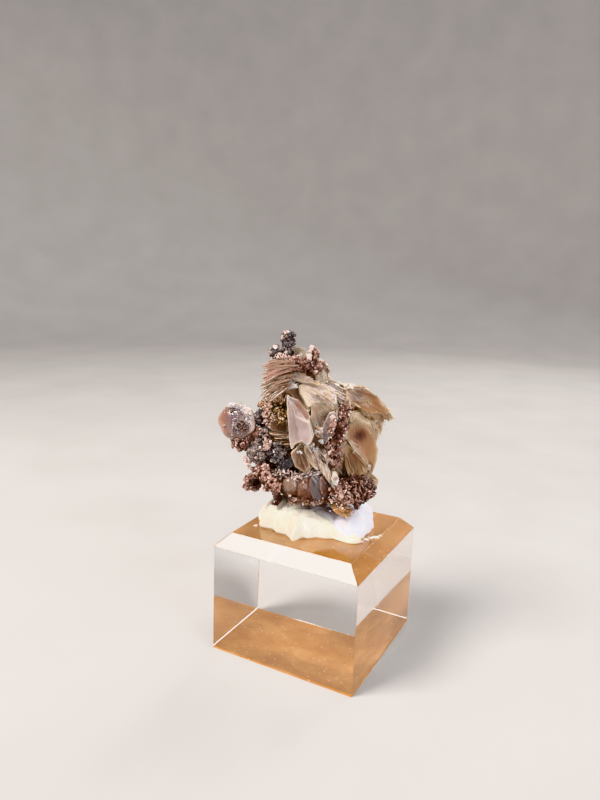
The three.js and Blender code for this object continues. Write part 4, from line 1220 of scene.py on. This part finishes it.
shell_skins = [
    ribbed_skin(DOME, 0, 0, 0.03, (0.1, 0.26), 191), ribbed_skin(BODY, 17, 0.05, 0.05, (0.36, 0.56), 192),
    ribbed_skin(SLAB, 11, 0.025, 0.03, (0.62, 0.86), 193),
]
for i, (right, turn, half, tone) in enumerate([(0.3, 30, (1.9, 3), 0.8), (1.6, 58, (1.6, 2.7), 0.66)]):
    shell_skins.append(plate(
        (-0.9 + right, -6.9 + 0.5 * right, 10.8), facing(turn, 4), round_edge(half, 3, 0.06, seed=i),
        thick=0.4, spin=14, tone=tone, seed=i, dish=-0.5, root=np.array([-3.0, 7.0]), pale=0.93,
    ))
rng = np.random.default_rng(93)
where = (-6.2, -6.6, 12.2) + rng.random((130, 1)) * (5.6, 0, 1.7)
where = where + rng.normal(size=(130, 3)) * (0.3, 0.5, 0.25)
shell_skins.append(splinters(
    rng, where, (0.9, 0, 0.3), 0.45, facing(0, 20), 0.5, (0.5, 1.5), (0.08, 0.18), (1.1, 2), thick=0.08,
))
count = 330
where = np.column_stack([
    rng.uniform(-6.4, 0.4, count), rng.uniform(-7.4, -5.4, count), rng.normal(size=count) * 0.45 + 7.7,
])
shell_skins += grains(where, 0.16, rng.choice([0.4, 0.5, 0.56, 1.4], count), 94, shares=(0.6, 0.3))
shell_look = calcite_look("shell_calcite", [
    (0.18, 106, 88, 78), (0.32, 142, 120, 106), (0.44, 134, 90, 70), (0.54, 110, 74, 62), (0.62, 100, 88, 90),
    (0.78, 134, 120, 124), (0.95, 214, 184, 174),
], (198, 174, 164), rim_highlight_share=0.4, clear=0.05, roughness=0.28, per_mm=2.6, veins=0.8)
dress(new_piece("ribbed_shell", shell_skins, crease=24), "calcite_lower_shell", shell_look)


# The lens on the left is a rounded, glossy pink-orange crystal, purplish in its middle. Pale frosting
# grows over its upper right, with white crystals on top, and lower down is a crater with a pale rim and
# brown and golden grains inside.
LENS_AT = np.array([-17.5, -2.8, 22.3])
LENS_WIDE = 4
LENS_HIGH = 3.7
LENS_THICK = 4.6
LENS_FACING = facing(-22, 8)
CRATER_AT = (0.6, -0.14)
lens_across, lens_along = plane_axes(LENS_FACING)


def on_lens(right, high, proud=0.0):
    """Places on the lens's front for shares of its half width and half height: its middle plus those,
    plus its half thickness times (1 - the shares' squares) to the power of 0.4, and the height a place
    stands proud."""
    rise = np.clip(1 - right ** 2 - high ** 2, 0, 1) ** 0.4 * LENS_THICK / 2 + proud
    flat = LENS_WIDE * right[:, None] * lens_across + LENS_HIGH * high[:, None] * lens_along
    return LENS_AT + flat + rise[:, None] * LENS_FACING


rise = np.radians(np.linspace(-88, 88, 48))[:, None]
angle = np.linspace(0, 2 * math.pi, 96, endpoint=False)
reach = np.cos(rise) ** 0.85 * (1 + 0.03 * ripple_round(angle, 18))
lens_rings = (
    LENS_AT + (LENS_WIDE * reach * np.cos(angle))[..., None] * lens_across
    + (LENS_HIGH * reach * np.sin(angle))[..., None] * lens_along
    + (LENS_THICK / 2 * np.sin(rise) + 0 * angle)[..., None] * LENS_FACING
)
lens_rings = lens_rings + 0.1 * waves(lens_rings, 4, 17)[..., None] * unit_rows(lens_rings - LENS_AT)
corners, faces = skin(lens_rings)
right = (corners - LENS_AT) @ lens_across / LENS_WIDE
high = (corners - LENS_AT) @ lens_along / LENS_HIGH
tone = 0.44 + 0.8 * right + 0.4 * np.clip(high, 0, 1) - 0.2 * np.clip(-high - 0.4, 0, 1)
# Painted highlight: the lens's outline takes the pale rim colour as a highlight along its edge.
rim_highlight = np.clip(np.hypot(right, high), 0, 1)
lens_skins = [marked(corners, faces, tone, rim_highlight, corners[:, 0], corners[:, 2])]
rng = np.random.default_rng(95)
count = 2800
spread = 0.99 * np.sqrt(rng.random(count))
turn = rng.uniform(0, 2 * math.pi, count)
right, high = spread * np.cos(turn), spread * np.sin(turn)
to_crater = np.hypot(right - CRATER_AT[0], high - CRATER_AT[1])
frosted = np.clip((0.45 * right + 1.0 * high) * 1.8 - 0.6, 0.01, 0.85) * (to_crater > 0.34)
keep = rng.random(count) < frosted
whiter = 0.7 * np.clip(4 * spread - 3, 0, 1) * np.clip(2 * high + right, 0, 1)
frost = on_lens(right[keep], high[keep])
lens_skins += grains(frost, 0.1, rng.uniform(0.7, 1.3, keep.sum()) + whiter[keep], 96)
behind = frost - 2 * ((frost - LENS_AT) @ LENS_FACING)[:, None] * LENS_FACING
lens_skins += grains(behind[::2], 0.14, rng.uniform(1, 1.6, len(behind[::2])), 99)
count = 420
turn = rng.uniform(0, 2 * math.pi, count)
for wall, proud, size, tones, seed in [
    (True, 0.12, 0.1, (0.7, 1.5), 98), (False, 0.02, 0.12, [-0.55, -0.5, -0.1, 0.3, 0.6], 101),
]:
    spread = 0.29 * (1 + rng.normal(size=count) * 0.08) if wall else 0.26 * np.sqrt(rng.random(count))
    right, high = CRATER_AT[0] + spread * np.cos(turn), CRATER_AT[1] + 1.3 * spread * np.sin(turn)
    lens_skins += grains(on_lens(right, high, proud), size, drawn(rng, tones, count), seed)
turn = rng.uniform(0.3, 1.95, 70)
spread = rng.uniform(0.8, 0.97, 70)
top_rim = on_lens(spread * np.cos(turn), spread * np.sin(turn))
lens_skins += grains(top_rim, 0.2, rng.uniform(1.2, 1.8, 70), 104)
share = np.linspace(0, 1, 70)
ridges = [
    on_lens(0.12 + 0.06 * np.sin(6 * share), 0.12 - 0.75 * share, 0.08),
    on_lens(0.1 + 0.5 * share, 0.14 + 0.1 * np.sin(5 * share), 0.08),
]
for i, line in enumerate(ridges):
    lens_skins += sprinkle(rng, line, 0.05, 70, 0.11, (0.9, 1.8), 102 + i)
top = LENS_AT + np.array([-1, -0.9, 3.6])
lens_skins += sprinkle(rng, top, (0.4, 0.25, 0.14), 14, 0.34, 2.4, 97, shares=(0.5, 0.5))
lens_look = calcite_look("pink_calcite", [
    (0.02, 76, 44, 36), (0.1, 140, 98, 74), (0.2, 172, 118, 88), (0.36, 150, 108, 94), (0.48, 120, 98, 102),
    (0.68, 150, 124, 120), (0.85, 200, 174, 168), (1.1, 242, 224, 218),
], (240, 214, 196), roughness=0.2, per_mm=0.8, ior=1.55, veins=0.25, coat=[("Coat Roughness", 0.08)], stains=[
    ((-17.6, -5, 19.6), 1.6, 0.6, (128, 96, 66)),
])
tree = lens_look.node_tree
glossy = ranged(tree, mark(tree, "tone"), 0.9, 1.4, 0.8, 0.0)
tree.links.new(glossy, shader_of(lens_look).inputs["Coat Weight"])
dress(new_piece("pink_lens", lens_skins), "calcite_left_lens", lens_look)


# The chip at the foot is a small honey-yellow rhomb of clearer calcite, half sunk in the tack. It is
# cleaved into six steps, each a little smaller and further forward, with a few grains on its front.
CHIP_AT = np.array([4.2, -5, 5.7])
CHIP = [
    (-2.7, 0.3), (-1.7, 1.05), (0.2, 1.25), (2.1, 0.6), (2.5, -0.4), (1.6, -1.25), (0.4, -0.95),
    (-1.4, -0.5),
]
chip_skins = []
for i in range(6):
    edge = straight_edge(np.array(CHIP) * (1.04 - 0.05 * i), 84, 0.05, 101 + i)
    chip_skins.append(plate(
        CHIP_AT + (0.05 * i, -2 + 0.62 * (5 - i), 0), facing(6 + 2 * i, 8), edge, thick=0.6, spin=-12,
        warp=0.12, teeth=0.08, fold=0.2, root=np.array([-5.0, 2.0]), tone=0.2 + 0.14 * i, seed=9,
    ))
rng = np.random.default_rng(104)
chip_skins += sprinkle(rng, CHIP_AT + (1.2, -2.1, 0.3), (0.6, 0.2, 0.4), 40, 0.12, (0.2, 1.4), 105)
chip_look = calcite_look(
    "yellow_calcite", [(0.2, 104, 66, 46), (0.45, 168, 116, 78), (0.7, 206, 162, 122)], (228, 196, 162),
    rim_highlight_share=0.5, clear=0.2, roughness=0.22, per_mm=2, veins=0.3,
)
dress(new_piece("yellow_foot_chip", chip_skins, crease=24), "calcite_foot_chip", chip_look)


# The crusts are grown-together grains of metal oxides and tiny crystals. Each has a body of rough lumps
# with pits, small knobs on it, and thousands of grains and flakes over both. The copper-red ones lie
# under the lens, on the ridge between heart and wing, on the crown and round the base.
KNOB_ROOM = 0.4
RING_STEPS = 32
TUBE_STEPS = 8


def rough_skin(lump, seed, tone, grit=0.24, pits=(), size=1.0):
    """The closed skin of a crust's lump. Its points lie about grit apart, pushed out by rounded bumps two,
    one and half a millimetre long with creases between them and by a random share of the grit, and in by the
    pits. The tone rises from the creases to the tips, with a random share, and drops in the pits: painted
    shade in the creases and pits, and a painted highlight on the tips."""
    at, half = np.array(lump[0]), np.array(lump[1])
    rng = np.random.default_rng(seed)
    rings = int(np.clip(math.pi * half.max() / grit, 6, 46))
    aim = directions(rings, int(np.clip(2 * math.pi * half[:2].max() / grit, 9, 92)))
    base = at + half * aim
    relief = (
        0.5 * np.abs(waves(base, 2 * size, 11)) + 0.3 * np.abs(waves(base, 1.0 * size, 12))
        + 0.2 * np.abs(waves(base, 0.5 * size, 13)) - 0.5
    )
    deep = in_pits(base, pits)
    push = size * (0.9 * relief + rng.normal(size=relief.shape) * 0.07) - deep
    corners, faces = skin(base + aim * push[..., None])
    # Painted shade and highlight: darker in the creases and pits, paler on the tips.
    tones = tone + 0.5 * relief + 0.26 * (rng.random(relief.shape) - 0.5)
    tones = np.clip(tones * (1 - np.clip(1.8 * deep, 0, 0.9)), 0, 1)
    return marked(corners, faces, np.append(tones.ravel(), [0, 0]))


def crust(lumps, seed, density=9.0, bumps=0.5, pale=0.03, high=0.85, shifts=(), pits=(), clear_of=(),
          body=0.34):
    """Skins of a granular crust: its lumps, knobs of a third to a sixth of a lump over them, and grains
    over all. The tone follows patches, a soft field over the place, with each lump's own shift and some
    grains pale."""
    rng = np.random.default_rng(seed)
    lumps = [(at, np.array(half) - KNOB_ROOM) for at, half in lumps]
    shift_of = np.array([*shifts, *[0.0] * (len(lumps) - len(shifts))])
    tones = body + 0.6 * shift_of
    made = [rough_skin(one, seed + i, tones[i], pits=pits) for i, one in enumerate(lumps)]
    places, _, parents = outside(lumps, 0.45, bumps, 2.0, rng, clear_of, pits)
    solid = in_pits(places, pits) < 0.25
    places, parents = places[solid], parents[solid]
    knobs = [(place, rng.uniform(0.25, 0.6, 3)) for place in places]
    for i, one in enumerate(knobs):
        made.append(rough_skin(one, seed + 50 + i, tones[parents[i]] + 0.04, grit=0.28, size=0.5))
    on_lumps, _, owners = outside(lumps, density, bumps, 2.0, rng, clear_of, pits)
    on_knobs, _, holders = outside(knobs, density * 0.8, 0.1, 0.9, rng, clear_of=[*lumps, *clear_of])
    where = np.concatenate([on_lumps, on_knobs])
    shift = shift_of[np.concatenate([owners, parents[holders]])]
    patches = 0.5 + 0.5 * np.clip(1.3 * waves(where, 2.6, seed + 1), -1, 1)
    share = np.clip(0.4 * patches + 0.8 * rng.beta(1.2, 2.3, len(where)) + shift, 0, 1)
    tones = 0.05 + (high - 0.05) * share
    light = 0.5 + 0.5 * np.clip(2 * waves(where, 1.4, seed + 4) - 0.6, -1, 1)
    tones[rng.random(len(where)) < 4 * pale * light ** 2] = 1.0
    # Painted shade: grains that lie in the pits are darkened.
    tones = tones * (1 - np.clip(1.6 * in_pits(where, pits), 0, 0.92))
    return made + grains(where, 0.12, tones, seed + 2, shares=(0.66, 0.2))


def hollow_cells(cells, seed, wall=0.26):
    """Small hollow crystals with thin walls, seen as rough rings, each (place, facing, radius, tone): a
    tube of the wall's thickness round a circle whose radius swings by soft noise, with grains on it."""
    made = []
    rng = np.random.default_rng(seed)
    turn = np.linspace(0, 2 * math.pi, RING_STEPS, endpoint=False)
    round_tube = np.linspace(0, 2 * math.pi, TUBE_STEPS, endpoint=False)[None, :]
    row, column = np.divmod(np.arange(RING_STEPS * TUBE_STEPS), TUBE_STEPS)
    ahead, over = (row + 1) % RING_STEPS * TUBE_STEPS, (column + 1) % TUBE_STEPS
    here, corner = row * TUBE_STEPS + column, ahead + over
    beside = row * TUBE_STEPS + over
    faces = np.vstack([
        np.column_stack([here, ahead + column, corner]), np.column_stack([here, corner, beside]),
    ])
    for place, normal, radius, tone in cells:
        across, along = plane_axes(normal, 31 * len(made))
        swing = ripple_round(turn, seed + len(made))[:, None]
        thick = wall * (1 + 0.3 * ripple_round(turn, seed + 40 + len(made), lowest=3)[:, None])
        thick = thick + rng.normal(size=(RING_STEPS, TUBE_STEPS)) * 0.04
        reach = radius * (1 + 0.16 * swing) + thick * np.cos(round_tube)
        rise = 1.4 * thick * np.sin(round_tube) + 0.15 * swing
        points = np.array(place) + (reach * np.cos(turn[:, None]))[..., None] * across
        points = points + (reach * np.sin(turn[:, None]))[..., None] * along + rise[..., None] * unit(normal)
        points = points.reshape(-1, 3)
        made.append(marked(points, faces, tone + rng.normal(size=len(points)) * 0.08))
        where = points[rng.integers(0, len(points), 60)]
        made += grains(where, 0.1, rng.uniform(tone - 0.25, tone + 0.25, 60), seed + len(made))
    return made


def crust_look(name, stops, metal):
    """Grains of oxide and metal: each grain's tone picks its colour along the stops, with fine mottling
    on it."""
    look, tree, shader = new_look(name, [("Metallic", metal), ("IOR", 1.6)])
    mottle = noise(tree, 1400, 3.0, 0.65)
    shifted = calc(tree, "SUBTRACT", calc(tree, "MULTIPLY_ADD", mottle, 0.22, mark(tree, "tone")), 0.11)
    tree.links.new(ramp(tree, shifted, stops), shader.inputs["Base Color"])
    tree.links.new(ranged(tree, mottle, 0.3, 0.7, 0.18, 0.5), shader.inputs["Roughness"])
    emboss(tree, shader, mottle, 0.5, 0.08)
    return look


def scatter(rng, clusters, **how):
    """Grains in the clusters, one after the other, each (middle, extent, count, size, tones, seed)."""
    return [one for cluster in clusters for one in sprinkle(rng, *cluster, **how)]


copper_look = crust_look("copper_crust", [
    (0.0, 28, 18, 18), (0.2, 78, 52, 46), (0.4, 126, 90, 78), (0.6, 170, 130, 116), (0.8, 212, 178, 166),
    (1.0, 248, 234, 226),
], metal=0.1)
LENS_CRUST = [((-16.4, -3.4, 18.5), (2.2, 2.1, 1.7)), ((-14.2, -3.3, 20.3), (1.9, 1.8, 1.8))]
LENS_PITS = [
    ((-16.8, -5.4, 18.4), 0.6), ((-15.4, -5.2, 18.6), 0.5), ((-14.6, -5, 20), 0.5),
    ((-15.8, -5.2, 17.4), 0.6),
]
skins = crust(LENS_CRUST, 111, pale=0.12, pits=LENS_PITS)
dress(new_piece("copper_under_lens", skins, 30), "copper_lens_crust", copper_look)

RIDGE = [
    ((4, -3.9, 25.6), (1.3, 1.9, 1.7)), ((3.4, -4.7, 23.2), (1.4, 2, 2.3)),
    ((2.6, -4.9, 20), (1.6, 2.2, 2.4)), ((2.4, -4.6, 16.8), (1.7, 2.3, 2.4)),
]
RIDGE_PITS = [
    ((2.6, -6.7, 21.4), 0.8), ((3.4, -6.3, 24.4), 0.6), ((2, -6.9, 18.8), 0.8), ((3.8, -6.2, 22.2), 0.5),
    ((2, -6.6, 16.4), 0.8), ((3.4, -6.6, 19.6), 0.5), ((3.2, -6.6, 17.6), 0.6),
]
skins = crust(RIDGE, 121, pale=0.06, pits=RIDGE_PITS, clear_of=HEART_MASSES[:1])
rng = np.random.default_rng(126)
vein = (1.5, -6.9, 22.9) + rng.normal(size=(110, 1)) * (0.35, 0, 1.5)
skins += sprinkle(rng, vein, 0.3, 110, 0.13, (0.1, 0.9), 127)
rng = np.random.default_rng(126)
where = (1.3, -6.1, 17.4) + rng.uniform(-1, 1, (120, 3)) * (0.9, 0.5, 1.9)
skins.append(splinters(
    rng, where, (0.5, -0.1, 0.5), 0.7, facing(0, 20), 0.6, (0.5, 1.3), (0.12, 0.28), (0.45, 1),
))
dress(new_piece("copper_ridge_crust", skins, 30), "copper_ridge", copper_look)

CROWN_CRUST = [
    ((-6.8, -2.4, 35), (1.9, 1.8, 1.2)), ((-4.4, -2.4, 34.5), (2.2, 1.9, 1.6)),
    ((-2.4, -2, 34), (1.6, 1.6, 1.6)), ((-2.4, -1.8, 36.4), (1, 1, 1.9)),
]
skins = crust(CROWN_CRUST, 131, pale=0.06, clear_of=CROWN_ROOTS)
rng = np.random.default_rng(136)
skins += sprinkle(rng, (-8.2, -2.9, 35.8), (1.2, 0.4, 0.22), 130, 0.12, (0.55, 1), 139)
cap = (-3.1, -2.9, 37.5) + rng.uniform(-1, 1, (26, 1)) * (0.35, 0, 0.5)
skins += sprinkle(rng, cap, 0.12, 26, 0.15, (0.8, 1), 137)
skins += sprinkle(rng, (-3.5, -3.6, 36.3), 0.18, 22, 0.15, (0.8, 1), 138)
dress(new_piece("copper_on_crown", skins, 30), "copper_crown_crust", copper_look)


BASE_CRUST = [
    ((-13.8, -3.3, 9.9), (2.1, 1.9, 1.9)), ((-12, -4, 12.6), (2.2, 2.2, 2)),
    ((-9.9, -4.6, 10.6), (2.2, 2.3, 2.2)), ((-8.9, -4, 7.2), (1.1, 1.1, 2)),
    ((-9.2, 0.4, 11.4), (3.8, 4.4, 3.6)), ((-0.8, 0.6, 8.4), (8.4, 6.2, 3.4)),
    ((7.4, -3.6, 9.5), (3.7, 3.3, 3.2)), ((4.2, -4.6, 9.6), (2.1, 2, 2.3)),
    ((-2.4, 5.8, 11), (4.4, 3, 3.4)), ((4.8, 4.4, 10.4), (3.6, 3.2, 2.9)),
]
BASE_SHIFTS = (0.02, 0.06, 0.02, -0.2, 0, -0.02, -0.24, 0)
BASE_PITS = [
    ((-12.9, -5.2, 10.2), 1.2), ((-10.9, -6.3, 12.7), 0.8), ((-9.7, -6.6, 11.6), 0.8),
    ((-8.8, -6.7, 10.5), 0.7), ((6.2, -6.6, 11), 0.7), ((8, -6.8, 9.6), 0.6), ((4, -6.6, 9), 0.7),
    ((9.6, -5.8, 8.4), 0.6), ((5.4, -6.8, 8), 0.5),
]
CELLS = [
    ((-10.9, -6.9, 12.7), facing(-14, 12), 0.72, 0.68), ((-9.7, -7.3, 11.6), facing(-5, 6), 0.66, 0.62),
    ((-8.8, -7.4, 10.5), facing(4, 0), 0.6, 0.58), ((-11.2, -6.2, 14.2), facing(13, -6), 0.5, 0.7),
]
skins = crust(
    BASE_CRUST, 141, density=6.0, pale=0.04, shifts=BASE_SHIFTS, pits=BASE_PITS, clear_of=HEART_MASSES[:1],
)
skins += hollow_cells(CELLS, 190)
rng = np.random.default_rng(195)
vein = (-14.9, -4.8, 14.5) + rng.normal(size=(70, 1)) * (0.45, 0, -0.7)
skins += sprinkle(rng, vein, 0.2, 70, 0.17, (0.6, 0.95), 196)
skins += sprinkle(rng, (-8.8, -4.9, 6.6), (0.5, 0.5, 1), 50, 0.16, (0.1, 0.45), 197, even=True)
rng = np.random.default_rng(146)
skins += sprinkle(rng, (4.4, -6.9, 9), (1.4, 0.4, 1.2), 260, 0.13, (0.4, 1), 147)
where = (7, -6.9, 9.6) + rng.normal(size=(40, 3)) * (1.6, 0.3, 1.2)
skins.append(splinters(rng, where, 0, (1, 0.3, 1), facing(0, 10), 0, (0.8, 1.8), 0.07, (0.5, 0.9)))
dress(new_piece("copper_round_base", skins, 30), "copper_base_crust", copper_look)


# The black crusts grow on the left, with one sharp eight-faced crystal and a small clump of paler grains
# under it, on the back, and as a finger at the very top with a small knob beside it.
black_look = crust_look("black_crust", [
    (0.0, 24, 21, 23), (0.2, 56, 51, 54), (0.4, 98, 89, 90), (0.6, 142, 128, 122), (0.78, 182, 148, 134),
    (1.0, 244, 232, 226),
], metal=0.1)
BLACK_WAYS = {"high": 0.7, "bumps": 0.35, "clear_of": HEART_MASSES[:2], "body": 0.3}
BLACK_LEFT = [
    ((-12.8, -3.8, 16.8), (2.5, 2.5, 2.6)), ((-9, -4.2, 16.8), (2.3, 2.4, 2.4)),
    ((-12.6, -2.6, 23.4), (1.6, 1.6, 1.9)), ((-11.6, -2.7, 20.3), (1.8, 1.8, 2.1)),
    ((-9.4, -0.8, 17.2), (3.2, 3, 3.2)), ((-8.2, -4.5, 12.7), (2, 1.4, 1.3)),
]
BLACK_SHIFTS = (0.22, 0.06, 0.06, 0.2, 0.06, 0.36)
SHARP_CRYSTAL = np.array([-7.5, -5.5, 15.2])
SHARP_FACING = facing(-10, 22)
across, along = plane_axes(SHARP_FACING, 6)
sharp = SHARP_CRYSTAL + GRAIN_OCTAHEDRON * (2.3, 1.3, 2.3) @ np.array([across, -SHARP_FACING, along])
rng = np.random.default_rng(155)
weights = rng.dirichlet((0.6, 0.6, 0.6), 420)
on_faces = np.einsum("nk,nkj->nj", weights, sharp[OCTAHEDRON_FACES[rng.integers(0, 8, 420)]])
sharp_grains = grains(on_faces, 0.08, rng.uniform(0.02, 0.5, 420), 156)
EDGE_ENDS = [(1, 4, 1), (1, 5, 1), (0, 4, 1), (0, 5, 1), (1, 4, 0.72), (1, 5, 0.72), (1, 3, 1), (3, 4, 1)]
for i, (start, end, drawn_in) in enumerate(EDGE_ENDS):
    share = np.linspace(0, 1, 46)[:, None]
    line = sharp[start] * share + sharp[end] * (1 - share)
    line = line * drawn_in + (0.6 * SHARP_CRYSTAL + 0.4 * sharp[3]) * (1 - drawn_in)
    sharp_grains += grains(line, 0.055, rng.uniform(0.55, 0.9, 46), 240 + i, shares=(0.9, 0.1), spread=0.2)
skins = crust(BLACK_LEFT, 151, pale=0.05, shifts=BLACK_SHIFTS, **BLACK_WAYS)
skins.append((on_block(sharp), OCTAHEDRON_FACES, np.full((len(sharp), len(MARKS)), 0.2)))
skins += sharp_grains
skins += hollow_cells([((-11.8, -4.8, 20.8), facing(-6, 4), 0.66, 0.66)], 198, wall=0.18)
skins += sprinkle(rng, (-11.1, -6.1, 18.7), (0.35, 0.2, 0.55), 70, 0.17, (0.66, 0.95), 158, shares=(0.4, 0.4))
skins += scatter(rng, [
    ((-9.6, -6.2, 17.6), 0.14, 10, 0.17, 1.0, 162),
    ((-6.9, -6.9, 13.6), (0.8, 0.1, 0.3), 24, 0.1, (0.6, 0.95), 163),
    ((-8.6, -5.9, 12.8), (0.9, 0.15, 0.45), 60, 0.12, (0.7, 1.0), 165),
])
dress(new_piece("black_on_left", skins, 30), "black_left_crust", black_look)

BLACK_FINGER = [
    ((-7.8, -1, 38.6), (1.5, 1.4, 2.3)), ((-10.2, -1.6, 36.6), (1.3, 1.3, 1.5)),
    ((-8.6, -1, 36.1), (2, 1.6, 1.2)), ((-8.3, -1.3, 40), (1.1, 1.1, 1)),
    ((-7.3, -0.9, 40.1), (1.05, 1.1, 0.95)),
]
skins = crust(BLACK_FINGER, 161, pale=0.05, **BLACK_WAYS)
skins += sprinkle(
    rng, (-10.1, -2.4, 37.8), (0.36, 0.2, 0.16), 16, 0.15, (0.86, 1.0), 159, even=True, shares=(0.3, 0.7),
)
skins += sprinkle(rng, (-8.3, -1.9, 40.1), (0.6, 0.3, 0.6), 70, 0.12, (0.45, 0.86), 160, even=True)
skins += sprinkle(rng, (-9.6, -2.4, 35.9), (0.8, 0.3, 0.4), 40, 0.11, 1.0, 164)
dress(new_piece("black_finger", skins, 30), "black_crown_finger", black_look)

BLACK_BACK = [((-9.2, 4.2, 21.6), (2.6, 2.6, 2.9)), ((-8.9, 4.2, 25.4), (2, 2.2, 2))]
skins = crust(BLACK_BACK, 171, pale=0.04, **BLACK_WAYS)
dress(new_piece("black_on_back", skins, 30), "black_back_crust", black_look)


# Above the hollow is a patch of gold, green and black grains, with pink ones on its left and a round bead
# beside it.
gold_look = crust_look("gold_green_crust", [
    (0.0, 28, 28, 26), (0.2, 62, 60, 50), (0.4, 104, 84, 62), (0.58, 176, 144, 98), (0.76, 190, 148, 130),
    (1.0, 240, 214, 198),
], metal=0.15)
GOLD_PATCH = [((-9.3, -3.6, 25.9), (2.6, 2.4, 2.8)), ((-12.4, -3.1, 26.4), (0.9, 0.9, 0.9))]
skins = crust(GOLD_PATCH, 181, high=0.7, shifts=(0, 0.2), pits=[((-9, -6.2, 26.6), 0.8)])
skins += scatter(np.random.default_rng(183), [
    ((-11.1, -5, 25.6), (0.45, 0.5, 1.4), 220, 0.14, (0.66, 1.0), 184),
    ((-9.4, -5.8, 28), (1.1, 0.4, 0.35), 120, 0.13, (0.5, 0.9), 188),
    ((-8.3, -6, 24.6), (0.8, 0.25, 0.8), 180, 0.14, (0.5, 0.66), 185),
    ((-8.7, -6, 28.1), (0.9, 0.25, 0.3), 34, 0.11, (0.8, 1.0), 189),
    ((-8.6, -6.2, 24.7), (1.2, 0.15, 0.9), 150, 0.12, [0.05, 0.1, 0.6, 0.76, 0.95], 190),
])
skins.append(rough_skin(((-12.5, -3.5, 26.5), (0.6, 0.55, 0.62)), 187, 0.66, grit=0.16, size=0.3))
dress(new_piece("gold_and_green", skins, 30), "gold_green_patch", gold_look)


# The studio is a plain pale floor that curves up into a pale wall all round, lit by a large soft light
# from the upper left, a weaker one from the right and a pale sky. The camera stands where the photograph
# was taken from.
FLOOR_RADIUS = 0.5
CURVE_RADIUS = 0.2
WALL_HEIGHT = 0.5
CAMERA_AT = (0.05597, -0.11764, 0.07997)
CAMERA_AZIMUTH, CAMERA_ELEVATION, CAMERA_ROLL = (math.radians(one) for one in (27.646, 12.024, 2.054))
LENS_MM = 29.45
profile = np.array([(0.02, 0), (0.3, 0), (FLOOR_RADIUS, 0)] + [
    (FLOOR_RADIUS + CURVE_RADIUS * math.sin(a), CURVE_RADIUS - CURVE_RADIUS * math.cos(a))
    for a in np.radians(np.arange(10, 91, 10))
] + [(FLOOR_RADIUS + CURVE_RADIUS, WALL_HEIGHT)])
angle = np.linspace(0, 2 * math.pi, 96, endpoint=False)
across, rise = profile[:, :1], profile[:, 1:]
corners, faces = skin(np.stack([across * np.cos(angle), across * np.sin(angle), rise + 0 * angle], axis=-1))
inside = faces[(faces != len(corners) - 1).all(axis=1)]
floor = new_piece("studio_floor", [(corners, inside[:, ::-1])], crease=80)
floor_look, tree, shader = new_look("pale_floor", [("Roughness", 0.8)])
pale = ramp(tree, noise(tree, 30, 3.0), [(0.3, 176, 172, 170), (0.7, 182, 178, 176)])
tree.links.new(pale, shader.inputs["Base Color"])
floor.data.materials.append(floor_look)


def soft_light(name, at, aim, size, watts, tint):
    """A square soft light at a place, turned towards aim."""
    lamp = bpy.data.lights.new(name, "AREA")
    lamp.size = size
    lamp.energy = watts
    lamp.color = tint
    holder = bpy.data.objects.new(name, lamp)
    bpy.context.scene.collection.objects.link(holder)
    holder.location = at
    holder.rotation_euler = (Vector(aim) - Vector(at)).to_track_quat("-Z", "Y").to_euler()


soft_light("key_light", (-0.2, -0.26, 0.42), (0, 0, 0.04), 0.22, 4.2, (1.0, 0.96, 0.91))
soft_light("fill_light", (0.4, -0.12, 0.2), (0, 0, 0.04), 0.3, 1.5, (0.95, 0.97, 1.0))
soft_light("rim_light", (0.05, 0.4, 0.35), (0, 0, 0.05), 0.25, 1.4, (1.0, 0.98, 0.95))
world = bpy.data.worlds.new("pale_sky")
world.use_nodes = True
sky = next(one for one in world.node_tree.nodes if one.type == "BACKGROUND")
sky.inputs["Color"].default_value = (0.92, 0.93, 0.95, 1)
sky.inputs["Strength"].default_value = 0.4
bpy.context.scene.world = world
bpy.context.scene.view_settings.view_transform = "Khronos PBR Neutral"
bpy.context.scene.cycles.max_bounces = 16
bpy.context.scene.cycles.transmission_bounces = 16

level = math.cos(CAMERA_ELEVATION)
back = Vector((
    math.sin(CAMERA_AZIMUTH) * level, -math.cos(CAMERA_AZIMUTH) * level, math.sin(CAMERA_ELEVATION),
))
right = Vector((math.cos(CAMERA_AZIMUTH), math.sin(CAMERA_AZIMUTH), 0))
up = back.cross(right)
rolled_right = math.cos(CAMERA_ROLL) * right + math.sin(CAMERA_ROLL) * up
rolled_up = math.cos(CAMERA_ROLL) * up - math.sin(CAMERA_ROLL) * right
view = bpy.data.cameras.new("camera")
view.lens = LENS_MM
view.sensor_width = 36
view.clip_start = 0.005
camera = bpy.data.objects.new("camera", view)
bpy.context.scene.collection.objects.link(camera)
camera.location = CAMERA_AT
camera.rotation_euler = Matrix((rolled_right, rolled_up, back)).transposed().to_euler()
bpy.context.scene.camera = camera
